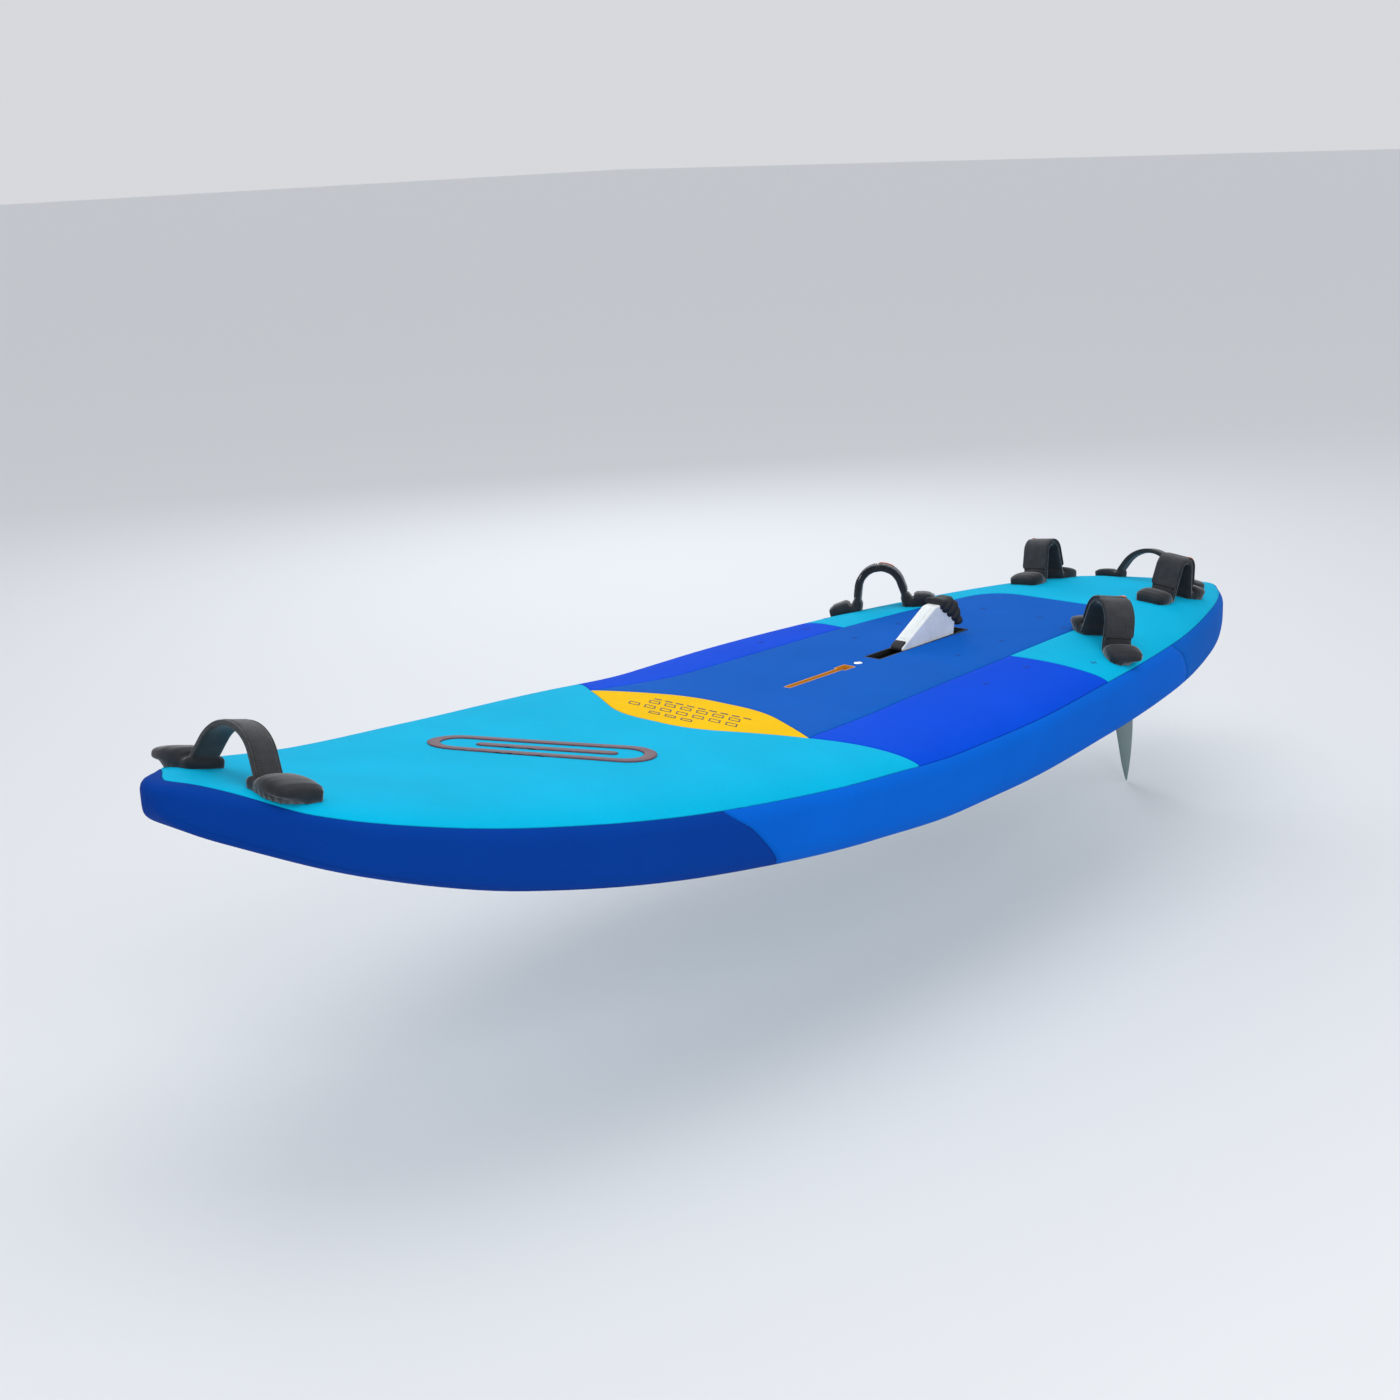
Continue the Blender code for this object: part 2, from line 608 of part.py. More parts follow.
def build_emblem(finishes):
    """A raised generic mark on the nose pad: a long loop with a notched tail, 1.4 mm proud."""
    top_mesh = hull_mesh("emblem", (-0.0017, -0.0017, -0.0017), FINE_RINGS, FINE_UP, FINE_DOWN)
    top = add_object("emblem", top_mesh, finishes["emblem"])
    under = hull_mesh("emblem_base", (-GAP, -GAP, -0.03), FINE_RINGS, FINE_UP, FINE_DOWN)
    under = as_cutter(add_object("emblem_base", under))
    outline = emblem_outline(EMBLEM_SIZE)
    hole = emblem_outline((EMBLEM_SIZE[0] - 2 * EMBLEM_STROKE, EMBLEM_SIZE[1] - 2 * EMBLEM_STROKE))
    plate = add_object("emblem_outline", plate_mesh("emblem_outline", outline, 0.1, 0.4))
    inner = as_cutter(add_object("emblem_hole", plate_mesh("emblem_hole", hole, 0.05, 0.45)))
    cut(top, under)
    cut(top, as_cutter(plate), "INTERSECT")
    cut(top, inner)
    return top


def emblem_outline(size):
    """A slanted stadium about EMBLEM_CENTRE, along the line that leans by EMBLEM_LEAN."""
    half_length, radius = size[0] / 2 - size[1] / 2, size[1] / 2
    points = []
    for end, start in ((1, -90), (-1, 90)):
        for step in range(7):
            turn = math.radians(start + 30 * step)
            points.append((end * half_length + radius * math.cos(turn), radius * math.sin(turn)))
    lean = math.radians(EMBLEM_LEAN)
    return [(EMBLEM_CENTRE[0] + u * math.cos(lean) - v * math.sin(lean),
             EMBLEM_CENTRE[1] + u * math.sin(lean) + v * math.cos(lean)) for u, v in points]


# ---------------------------------------------------------------- deck and hull fittings
def build_track(finishes, openings):
    body = rectangle(TRACK_BODY / 2, TRACK_START - 0.016, TRACK_END + 0.010)
    box = add_object("mast_track_box", plate_mesh("mast_track_box", body, TRACK_FLOOR, TRACK_TOP),
                     finishes["track"])
    slot = rectangle(TRACK_SLOT / 2, TRACK_START, TRACK_END)
    key = rectangle(TRACK_KEYHOLE / 2, TRACK_END - 0.026, TRACK_END)
    channel = rectangle(0.013, TRACK_START - 0.006, TRACK_END + 0.004)
    for name, outline, low, high in (("track_slot", slot, TRACK_FLOOR + 0.020, 0.16),
                                     ("track_keyhole", key, TRACK_FLOOR + 0.019, 0.17),
                                     ("track_channel", channel, TRACK_FLOOR + 0.013, TRACK_TOP - 0.010)):
        cut(box, as_cutter(add_object(name, plate_mesh(name, outline, low, high))))
    openings["mast_track_room"] = plate_mesh("mast_track_room", grown_outline(body, GAP),
                                             TRACK_FLOOR - GAP, TRACK_TOP + 0.005)
    openings["mast_track_mouth"] = plate_mesh("mast_track_mouth", grown_outline(slot, 0.0004), 0.13, 0.2)
    openings["keyhole_mouth"] = plate_mesh("keyhole_mouth", grown_outline(key, 0.0004), 0.129, 0.21)


def build_vent(finishes, openings):
    """A screw plug in a flanged body; the plug turns out of it."""
    deck = deck_height(0, VENT_STATION)
    seat = deck - SKIN - GAP
    body_profile = [(0.0062, seat), (VENT_RADIUS, seat), (VENT_RADIUS, seat - 0.020), (0.0062, seat - 0.020)]
    body = turned("vent_body", body_profile, finishes["fitting"], 20, ring=True)
    plug_profile = [(0, deck - 0.0006), (0.0070, deck - 0.0006), (0.0078, deck - 0.0016),
                    (0.0078, seat + GAP), (0.0056, seat + GAP), (0.0056, seat - 0.014), (0, seat - 0.014)]
    plug = turned("vent_plug", plug_profile, finishes["metal"], 20)
    driver = bmesh.new()
    bmesh.ops.create_cube(driver, size=1, matrix=Matrix.Diagonal((0.0112, 0.0018, 0.0030, 1)))
    slot = as_cutter(add_object("vent_driver_slot", mesh_from_bmesh("vent_driver_slot", driver)))
    for piece in (body, plug):
        piece.location = (0, VENT_STATION + Y_SHIFT, 0)
    slot.location = (0, VENT_STATION + Y_SHIFT, deck - 0.0006)
    cut(plug, slot)
    for name, radius, low, high in (("vent_room", VENT_RADIUS + GAP, seat - 0.0205, seat + 0.002),
                                    ("vent_mouth", 0.0084, seat - 0.001, deck + 0.02)):
        bm = bmesh.new()
        bmesh.ops.create_cone(bm, cap_ends=True, segments=20, radius1=radius, radius2=radius,
                              depth=high - low)
        bm.transform(Matrix.Translation((0, VENT_STATION + Y_SHIFT, (high + low) / 2)))
        openings[name] = mesh_from_bmesh(name, bm)


def turned_back(points, degrees):
    """Side-view points, given about the pivot with the blade stowed, as they are at rest."""
    turn = math.radians(-degrees)
    return [(PIVOT[0] + s * math.cos(turn) - z * math.sin(turn), PIVOT[1] + s * math.sin(turn)
             + z * math.cos(turn)) for s, z in points]


def arc_points(radius, first, last, steps):
    """Side-view points on a circle about the pivot, in degrees from aft."""
    angles = [math.radians(first + (last - first) * i / steps) for i in range(steps + 1)]
    return [(radius * math.cos(a), radius * math.sin(a)) for a in angles]


def build_daggerboard(finishes, openings):
    """Case, gaskets, blade, lever head with rubber grip, pivot pin and washers."""
    case_line = [(SLOT_START - 0.004, 0.0026), (SLOT_START - 0.004, 0.1395), (1.600, 0.1388),
                 (SLOT_END + 0.010, 0.1376), (1.760, 0.1160), (BLADE_SLOT_END + 0.004, 0.1120),
                 (BLADE_SLOT_END + 0.004, 0.0026)]
    hollow_line = [(SLOT_START, 0.0066), (SLOT_START, 0.18), (SLOT_END, 0.18), (SLOT_END, 0.1330),
                   (1.757, 0.1125), (BLADE_SLOT_END, 0.1085), (BLADE_SLOT_END, -0.02),
                   (BLADE_SLOT_START, -0.02), (BLADE_SLOT_START, 0.0066)]
    half_in, half_out = CASE_INSIDE / 2, CASE_OUTSIDE / 2
    case = add_object("dagger_case", plate_mesh("dagger_case", case_line, -half_out, half_out, "side"),
                      finishes["fitting"])
    hollow = add_object("case_hollow", plate_mesh("case_hollow", hollow_line, -half_in, half_in, "side"))
    cut(case, as_cutter(hollow))
    room = plate_mesh("case_room", grown_outline(case_line, GAP), -half_out - GAP, half_out + GAP, "side")
    openings["case_room"] = room
    slot_line = rectangle(half_in, SLOT_START, SLOT_END)
    openings["dagger_mouth"] = plate_mesh("dagger_mouth", grown_outline(slot_line, 0.0002), 0.12, 0.22)
    shell_line = rectangle(half_out + GAP, SLOT_START - 0.004 - GAP, SLOT_END + 0.030)
    openings["case_top_room"] = plate_mesh("case_top_room", shell_line, 0.12, 0.16)
    gasket_start, gasket_end = BLADE_SLOT_START - 0.020, BLADE_SLOT_END + 0.012
    gasket_line = rectangle(half_out + GAP, gasket_start, gasket_end)
    openings["gasket_room"] = plate_mesh("gasket_room", gasket_line, -0.01, 0.0031)

    for side, way in (("port", 1), ("starboard", -1)):
        near, far = way * (BLADE_THICKNESS / 2 + 0.0006), way * half_out
        start, end = gasket_start + 0.0004, gasket_end - 0.0004
        lip = [(near, start), (far, start), (far, end), (near, end)]
        gasket = plate_mesh("slot_gasket_" + side, lip, 0.0002, 0.0023)
        add_object("slot_gasket_" + side, gasket, finishes["rubber"])

    blade_line = arc_points(BOSS_RADIUS + 0.0004, 262, 352, 6) + [(0.040, -0.004), (0.395, -0.010)]
    blade_line += [(0.408, -0.018), (0.412, -0.035), (0.408, -0.060), (0.392, -0.078), (0.060, -0.090),
                   (0.020, -0.090), (-0.008, -0.082), (-0.016, -0.060), (-0.012, -0.040)]
    blade = add_object("dagger_blade", plate_mesh("dagger_blade", turned_back(blade_line, REST_ANGLE),
                       -BLADE_THICKNESS / 2, BLADE_THICKNESS / 2, "side"), finishes["blade"])
    rounding = blade.modifiers.new("Edge", "BEVEL")
    rounding.width = 0.004
    rounding.segments = 2
    rounding.limit_method = "ANGLE"
    rounding.angle_limit = math.radians(60)

    head_line = HEAD_TOP + turned_back(arc_points(BOSS_RADIUS, 110, -80, 9), 0) + HEAD_UNDERSIDE
    head = add_object("dagger_head", plate_mesh("dagger_head", head_line, -HEAD_THICKNESS / 2,
                      HEAD_THICKNESS / 2, "side"), finishes["head"])
    seat = plate_mesh("grip_seat", grown_outline(GRIP_LINE, GAP), -0.03, 0.03, "side")
    core = plate_mesh("grip_core", grown_outline(GRIP_CORE, GAP), -0.0110 - GAP, 0.0110 + GAP, "side")
    cut(head, as_cutter(add_object("grip_seat", seat)))
    stem = add_object("grip_stem", plate_mesh("grip_stem", GRIP_CORE, -0.0110, 0.0110, "side"))
    cut(head, as_cutter(stem), "UNION")
    grip = add_object("dagger_grip", plate_mesh("dagger_grip", GRIP_LINE, -GRIP_WIDTH / 2, GRIP_WIDTH / 2,
                      "side"), finishes["rubber"])
    cut(grip, as_cutter(add_object("grip_core", core)))

    pin_profile = [(0, 0.0195), (PIN_RADIUS, 0.0195), (PIN_RADIUS, -0.0195), (0, -0.0195)]
    across(turned("dagger_pin", pin_profile, finishes["metal"], 16), *PIVOT)
    hole_profile = [(0, 0.03), (PIN_RADIUS + GAP, 0.03), (PIN_RADIUS + GAP, -0.03), (0, -0.03)]
    hole = as_cutter(across(turned("pin_hole", hole_profile, None, 16), *PIVOT))
    cut(case, hole)
    cut(head, hole)
    for side, way in (("port", 1), ("starboard", -1)):
        low, high = sorted((way * 0.0143, way * 0.0166))
        profile = [(PIN_RADIUS + GAP, high), (0.011, high), (0.011, low), (PIN_RADIUS + GAP, low)]
        across(turned("pivot_washer_" + side, profile, finishes["metal"], 16, ring=True), *PIVOT)


def build_fin(finishes, openings):
    """A raked fin, lofted through foil sections, standing in a slotted box with one bolt."""
    levels = [FIN_BOX_HEIGHT - 0.012, 0.0, -0.08, -0.16, -0.23, -0.27, -0.288, -FIN_DEPTH]
    rake = monotone_curve([(0, 0), (0.158, 0.0566), (FIN_DEPTH, 0.098)])
    trailing = monotone_curve([(0, 0), (0.175, 0.0003), (FIN_DEPTH, -0.012)])
    bm = bmesh.new()
    rings = []
    for level in levels:
        depth = max(0.0, -level)
        near_tip = max(0.0, (depth - 0.24) / (FIN_DEPTH - 0.24))
        shrink = math.sqrt(max(0.05, 1 - near_tip ** 2))
        lead = FIN_ROOT[0] + rake(depth)
        trail = FIN_ROOT[1] + trailing(depth)
        middle = (lead + trail) / 2
        half_chord = (trail - lead) / 2 * shrink
        thick = FIN_THICKNESS * (1 - 0.55 * depth / FIN_DEPTH)
        ring = []
        for step in range(14):
            turn = 2 * math.pi * step / 14
            along = -math.cos(turn)
            bulge = (1 - along * along) ** 0.5 * (1.05 - 0.35 * (along + 1) / 2)
            x = math.copysign(thick / 2 * bulge, math.sin(turn)) if step not in (0, 7) else 0.0
            ring.append(bm.verts.new((x, middle + half_chord * along + Y_SHIFT, level)))
        rings.append(ring)
    for ring, following in zip(rings, rings[1:]):
        for j in range(len(ring)):
            k = (j + 1) % len(ring)
            bm.faces.new((ring[j], ring[k], following[k], following[j]))
    bm.faces.new(rings[0])
    bm.faces.new(rings[-1])
    smooth(add_object("fin", mesh_from_bmesh("fin", bm), finishes["fin"]))
    box_line = rectangle(FIN_BOX_WIDTH / 2, *FIN_BOX)
    box = add_object("fin_box", plate_mesh("fin_box", box_line, 0.0002, FIN_BOX_HEIGHT), finishes["fitting"])
    slot = rectangle(FIN_THICKNESS / 2 + 0.0015, FIN_BOX[0] + 0.004, FIN_BOX[1] - 0.010)
    cut(box, as_cutter(add_object("fin_slot", plate_mesh("fin_slot", slot, -0.01, FIN_BOX_HEIGHT - 0.006))))
    openings["fin_box_room"] = plate_mesh("fin_box_room", grown_outline(box_line, GAP), -0.02,
                                          FIN_BOX_HEIGHT + GAP)
    bolt_profile = [(0, 0.030), (0.0028, 0.030), (0.0028, 0.007), (0.0050, 0.007), (0.0050, 0.003),
                    (0, 0.003)]
    bolt = turned("fin_bolt", bolt_profile, finishes["metal"], 10)
    bolt.location = (0, FIN_BOX[0] + 0.0115 + Y_SHIFT, 0)


# ---------------------------------------------------------------- straps and handles
def build_strap(label, side, outer, inner, finishes, holes):
    """Webbing from foot to foot, a padded sleeve under it, a fixed cover and a peel-open flap."""
    name = "%s_%s" % (label, side)
    way = 1 if side == "port" else -1
    arch = Arch((way * outer[0], outer[1]), (way * inner[0], inner[1]), STRAP_WIDTH, STRAP_RISE,
                STRAP_BEND, STRAP_STEEP, FOOT_LENGTH)
    last = len(arch.path) - 1
    crown = last // 2
    webbing = arch.band("strap_%s_webbing" % name, 0, last, 0, WEBBING, STRAP_WIDTH * 0.9,
                        finishes["webbing"])
    hole_mesh = bmesh.new()
    for which in (-1, 1):
        one = screw_cutter(arch, which, FOOT_LENGTH)
        part = mesh_from_bmesh("hole", one)
        hole_mesh.from_mesh(part)
        bpy.data.meshes.remove(part)
    hole = bpy.data.meshes.new(name + "_holes")
    hole_mesh.to_mesh(hole)
    hole_mesh.free()
    cutter = as_cutter(add_object(name + "_holes", hole))
    holes.append(cutter)
    cut(webbing, cutter)
    arch.band("strap_%s_sleeve" % name, 5, last - 5, -SLEEVE - GAP, -GAP, STRAP_WIDTH,
              finishes["sleeve"])
    over = WEBBING + GAP
    for part, first, final in (("flap", 4, crown), ("cover", crown + 1, last - 4)):
        arch.band("strap_%s_%s" % (name, part), first, final, over, over + COVER, STRAP_WIDTH * 0.96,
                  finishes["flap"])
    for word, which in (("outer", -1), ("inner", 1)):
        screw_piece("strap_%s_screw_%s" % (name, word), arch, which, FOOT_LENGTH, WEBBING, finishes["metal"])


def build_handle(name, feet, width, thickness, rise, foot, steep, finishes, holes):
    """A carry handle: one band of webbing with a screw through each foot."""
    arch = Arch(feet[0], feet[1], width, rise, 0.018, steep, foot)
    last = len(arch.path) - 1
    band = arch.band(name, 0, last, 0, thickness, width, finishes["webbing"])
    for word, which in (("port", -1), ("starboard", 1)):
        hole = mesh_from_bmesh(name + "_hole_" + word, screw_cutter(arch, which, foot))
        cutter = as_cutter(add_object(name + "_hole_" + word, hole))
        holes.append(cutter)
        cut(band, cutter)
        screw_piece("%s_screw_%s" % (name, word), arch, which, foot, thickness, finishes["metal"])


def make_finishes():
    return {
        "foam": material("Foam", (0.86, 0.87, 0.88), 0.9),
        "laminate": material("Laminate", (0.55, 0.6, 0.6), 0.5),
        "bottom": material("Bottom laminate", (0.80, 0.84, 0.86), 0.3),
        "nose_pad": material("Nose pad", (0.0, 0.47, 0.76), 0.8),
        "accent_pad": material("Accent pad", (1.0, 0.60, 0.0), 0.8),
        "centre_pad": material("Centre pad", (0.0, 0.11, 0.58), 0.8),
        "side_pad": material("Side pad", (0.0, 0.06, 0.75), 0.8),
        "tail_pad": material("Tail pad", (0.0, 0.47, 0.76), 0.8),
        "nose_rail": material("Nose rail", (0.0, 0.04, 0.32), 0.7),
        "mid_rail": material("Mid rail", (0.0, 0.13, 0.72), 0.7),
        "tail_rail": material("Tail rail", (0.0, 0.11, 0.58), 0.7),
        "emblem": material("Emblem", (0.14, 0.05, 0.07), 0.5),
        "track": material("Track", (0.72, 0.26, 0.02), 0.5),
        "fitting": material("Fitting", (0.02, 0.02, 0.02), 0.5),
        "metal": material("Steel", (0.6, 0.6, 0.62), 0.3, 1.0),
        "rubber": material("Rubber", (0.015, 0.015, 0.015), 0.7),
        "blade": material("Blade", (0.05, 0.06, 0.07), 0.4),
        "head": material("Lever", (0.83, 0.87, 0.87), 0.4),
        "fin": material("Fin", (0.13, 0.21, 0.21), 0.35),
        "webbing": material("Webbing", (0.02, 0.02, 0.022), 0.9),
        "sleeve": material("Sleeve", (0.012, 0.014, 0.016), 0.9),
        "flap": material("Flap", (0.018, 0.02, 0.022), 0.9),
    }


def open_up(pieces, openings):
    """Cuts the rooms and mouths of the fittings into the layers that they pass through."""
    plan = {
        "foam_core": ["mast_track_room", "vent_room", "case_room", "dagger_mouth", "fin_box_room"],
        "deck_shell": ["mast_track_room", "vent_room", "case_top_room"],
        "hull_shell": ["case_room", "gasket_room", "fin_box_room"],
        "centre_pad": ["mast_track_mouth", "keyhole_mouth", "vent_mouth", "dagger_mouth"],
    }
    cutters = {name: as_cutter(add_object(name, mesh)) for name, mesh in openings.items()}
    for name, names in plan.items():
        for opening in names:
            cut(pieces[name], cutters[opening])


def main():
    finishes = make_finishes()
    core, deck_shell, hull_shell, skin_mesh = build_hull(finishes)
    pieces = {"foam_core": core, "deck_shell": deck_shell, "hull_shell": hull_shell}
    pieces.update(build_skin(skin_mesh, finishes))
    build_emblem(finishes)
    openings = {}
    build_track(finishes, openings)
    build_vent(finishes, openings)
    build_daggerboard(finishes, openings)
    build_fin(finishes, openings)
    open_up(pieces, openings)

    holes = []
    for label, outer, inner in STRAPS:
        for side in ("port", "starboard"):
            build_strap(label, side, outer, inner, finishes, holes)
    build_handle("nose_handle", NOSE_HANDLE, 0.042, 0.005, 0.064, 0.045, 58, finishes, holes)
    build_handle("tail_handle", TAIL_HANDLE, 0.026, 0.0035, 0.057, 0.028, 58, finishes, holes)
    for layer in ("foam_core", "deck_shell"):
        for hole in holes:
            cut(pieces[layer], hole)
    for hole in holes:
        cut(pieces["nose_pad" if hole.name.startswith("nose") else "tail_pad"], hole)


clear_scene()
PARTS = new_collection("Windsurf board")
CUTTERS = new_collection("Cutters")
main()
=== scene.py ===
"""Looks of the windsurf board: soft EVA skin, padded straps and handles, lever, fin and fittings.

Metres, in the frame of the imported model: +X port, -Y nose, +Y tail, +Z up. Stations (s) are
distances from the nose tip, so y = s - LENGTH / 2.
"""
import math

import bmesh
import bpy
import numpy as np
from mathutils import Matrix, Vector, noise
from mathutils.geometry import delaunay_2d_cdt


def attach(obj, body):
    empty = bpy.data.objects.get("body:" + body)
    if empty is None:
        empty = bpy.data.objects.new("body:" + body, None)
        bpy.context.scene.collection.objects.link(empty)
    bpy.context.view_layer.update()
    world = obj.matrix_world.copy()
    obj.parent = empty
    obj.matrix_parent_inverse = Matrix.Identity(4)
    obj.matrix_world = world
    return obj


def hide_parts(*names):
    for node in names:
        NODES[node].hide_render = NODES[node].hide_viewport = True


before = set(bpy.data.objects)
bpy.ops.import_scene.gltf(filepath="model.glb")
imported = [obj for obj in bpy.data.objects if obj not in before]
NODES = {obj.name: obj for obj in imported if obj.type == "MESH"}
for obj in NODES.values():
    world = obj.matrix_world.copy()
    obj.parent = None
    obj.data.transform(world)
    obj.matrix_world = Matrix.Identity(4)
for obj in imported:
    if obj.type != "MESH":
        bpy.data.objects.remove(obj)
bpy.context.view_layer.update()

# ---------------------------------------------------------------- driving dimensions, as in the model
LENGTH = 2.55
Y_SHIFT = -LENGTH / 2
APEX_SHARE = 0.57
DECK_FLAT = 0.20
DECK_POWER = 2.8
BOTTOM_FLAT = 0.45
BOTTOM_POWER = 5.5
TIP_ROUND = 0.060
RAIL_LINE = 0.009
SKIN_RIM = 0.010
HALF_WIDTHS = [(0, 0), (0.043, 0.073), (0.171, 0.204), (0.373, 0.275), (0.638, 0.341), (0.945, 0.372),
               (1.275, 0.373), (1.605, 0.343), (1.913, 0.291), (2.177, 0.212), (2.379, 0.121),
               (2.507, 0.042), (2.55, 0)]
ROCKER = [(0, 0.246), (0.17, 0.165), (0.373, 0.097), (0.638, 0.049), (0.945, 0.015), (1.15, 0), (2.40, 0),
          (2.55, 0.010)]
THICKNESS = [(0, 0.057), (0.17, 0.096), (0.373, 0.122), (0.638, 0.136), (0.945, 0.145), (1.15, 0.147),
             (1.45, 0.147), (1.605, 0.146), (1.913, 0.138), (2.177, 0.126), (2.379, 0.095), (2.55, 0.050)]
ACCENT_TIP = (0.228, 0.949)
ACCENT_FRONT = (0.075, 0.857)
ACCENT_REAR = (0.075, 1.023)
CENTRE_SIDE = [(0.218, 0.998), (0.198, 1.166), (0.179, 1.538), (0.163, 1.770)]
CENTRE_CORNER = (0.152, 1.955)
SIDE_FRONT = [(0.284, 0.987), (0.330, 1.015), (0.372, 1.042)]
SIDE_REAR = [(0.237, 1.554), (0.297, 1.573), (0.338, 1.598), (0.400, 1.640)]
NOSE_SEAM = [(0.640, 0.20), (0.640, 0.160), (0.690, 0.110), (0.730, 0.060), (0.750, 0.030), (0.760, 0)]
TAIL_SEAM = [(1.870, 0.16), (1.883, 0.104), (1.925, 0.075), (1.948, 0.045), (1.958, 0.020), (1.960, 0)]
STRAPS = [("front", (0.303, 1.691), (0.181, 1.780)), ("rear", (0.141, 2.072), (0.143, 2.192))]
STRAP_WIDTH = 0.054
STRAP_RISE = 0.076
STRAP_BEND = 0.014
STRAP_STEEP = 77
FOOT_LENGTH = 0.030
WEBBING = 0.0024
COVER = 0.0032
GAP = 0.0003

SEAM = 0.0003              # half of the groove between two pads
EDGE = 0.0013              # width of the rounded edge of a pad
EDGE_DROP = 0.0005
SKIRT = 0.0040             # depth of a pad's side wall
GRID = 0.014               # spacing of a pad's inner vertices


# ---------------------------------------------------------------- hull form
def monotone_curve(points):
    """A smooth curve through the points that never overshoots them."""
    xs = np.array([p[0] for p in points], dtype=float)
    ys = np.array([p[1] for p in points], dtype=float)
    step = np.diff(xs)
    slope = np.diff(ys) / step
    tangent = np.zeros(len(xs))
    tangent[0], tangent[-1] = slope[0], slope[-1]
    for i in range(1, len(xs) - 1):
        if slope[i - 1] * slope[i] > 0:
            before, after = 2 * step[i] + step[i - 1], step[i] + 2 * step[i - 1]
            tangent[i] = (before + after) / (before / slope[i - 1] + after / slope[i])

    def value(x):
        i = int(np.clip(np.searchsorted(xs, x) - 1, 0, len(xs) - 2))
        t = (x - xs[i]) / step[i]
        return (ys[i] * (1 + 2 * t) * (1 - t) ** 2 + tangent[i] * step[i] * t * (1 - t) ** 2
                + ys[i + 1] * t * t * (3 - 2 * t) + tangent[i + 1] * step[i] * t * t * (t - 1))

    return value


def unit(value):
    return min(1.0, max(0.0, value))


def swept_angle(station):
    """Turns stations into an angle, in which a round end is a straight line."""
    return math.acos(min(1.0, max(-1.0, 1 - 2 * station / LENGTH)))


def station_at(angle):
    return LENGTH * (1 - math.cos(angle)) / 2


WIDTH_CURVE = monotone_curve([(swept_angle(s), w) for s, w in HALF_WIDTHS])
ROCKER_CURVE = monotone_curve(ROCKER)
THICKNESS_CURVE = monotone_curve(THICKNESS)


def half_width(station):
    return WIDTH_CURVE(swept_angle(station))


def end_round(station):
    reach = max(0.0, min(station, LENGTH - station))
    if reach >= TIP_ROUND:
        return 1.0
    return (1 - (1 - reach / TIP_ROUND) ** 3) ** (1 / 3)


def apex_height(station):
    return ROCKER_CURVE(station) + APEX_SHARE * THICKNESS_CURVE(station)


def rise_and_fall(station):
    thick = THICKNESS_CURVE(station) * end_round(station)
    return (1 - APEX_SHARE) * thick, APEX_SHARE * thick


def crown(share, flat, power):
    beyond = unit((share - flat) / (1 - flat))
    return (1 - beyond ** power) ** (1 / power)


def deck_height(x, station):
    share = min(1.0, abs(x) / max(half_width(station), 1e-6))
    return apex_height(station) + rise_and_fall(station)[0] * crown(share, DECK_FLAT, DECK_POWER)


def on_deck(x, station, lift=0.0):
    return Vector((x, station + Y_SHIFT, deck_height(x, station) + lift))


def above_deck(spot):
    return spot.z - deck_height(spot.x, spot.y - Y_SHIFT)


def deck_normal(x, station):
    step = 0.002
    along_x = on_deck(x + step, station) - on_deck(x - step, station)
    along_y = on_deck(x, station + step) - on_deck(x, station - step)
    return along_x.cross(along_y).normalized()


PAD_FRONT, PAD_BACK = 0.026, 0.011


def deck_line(station):
    """Half width of the deck pads: they stop RAIL_LINE inboard, and close in a round at both ends."""
    reach = min(station, LENGTH - station)
    first, round_length = (PAD_FRONT, 0.095) if station < LENGTH / 2 else (PAD_BACK, 0.034)
    closing = math.sin(math.pi / 2 * unit((reach - first) / round_length))
    return max(0.0, half_width(station) - RAIL_LINE) * math.sqrt(closing)


# ---------------------------------------------------------------- small helpers
def add_mesh(name, bm, finish, smooth=True):
    bmesh.ops.recalc_face_normals(bm, faces=bm.faces)
    mesh = bpy.data.meshes.new(name)
    bm.to_mesh(mesh)
    bm.free()
    if smooth:
        mesh.shade_smooth()
    made = bpy.data.objects.new(name, mesh)
    bpy.context.scene.collection.objects.link(made)
    made.data.materials.append(finish)
    return made


def dress(piece, body, slot, *replaced):
    """Says which body a piece rides on and which nodes it stands for. The slot, naming its finish, is not
    used.
    """
    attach(piece, body)
    if replaced:
        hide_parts(*replaced)
    return piece


def grown(outline, amount):
    """The outline moved outward by amount, with mitred corners."""
    points = [Vector(p) for p in outline]
    area = sum(a.x * b.y - b.x * a.y for a, b in zip(points, points[1:] + points[:1]))
    turn = 1 if area > 0 else -1
    result = []
    for i, here in enumerate(points):
        back = (here - points[i - 1]).normalized()
        ahead = (points[(i + 1) % len(points)] - here).normalized()
        n1 = Vector((back.y, -back.x)) * turn
        n2 = Vector((ahead.y, -ahead.x)) * turn
        bisector = (n1 + n2).normalized()
        result.append(tuple(here + bisector * (amount / max(0.35, bisector.dot(n1)))))
    return result


def fine(outline, longest):
    """The closed outline with its edges cut to at most the given length."""
    points = []
    for a, b in zip(outline, outline[1:] + outline[:1]):
        pieces = max(1, math.ceil(math.dist(a, b) / longest))
        points += [(a[0] + (b[0] - a[0]) * i / pieces, a[1] + (b[1] - a[1]) * i / pieces)
                   for i in range(pieces)]
    return points


def smooth_line(points, steps=8):
    """A curve through the points, with its tangents parallel to their neighbours' chords."""
    ends = [points[0]] + list(points) + [points[-1]]
    result = []
    for a, b, c, d in zip(ends, ends[1:], ends[2:], ends[3:]):
        a, b, c, d = Vector(a), Vector(b), Vector(c), Vector(d)
        for i in range(steps):
            t = i / steps
            result.append(tuple(0.5 * (2 * b + (c - a) * t + (2 * a - 5 * b + 4 * c - d) * t * t
                                       + (3 * b - a - 3 * c + d) * t ** 3)))
    return result + [tuple(points[-1])]


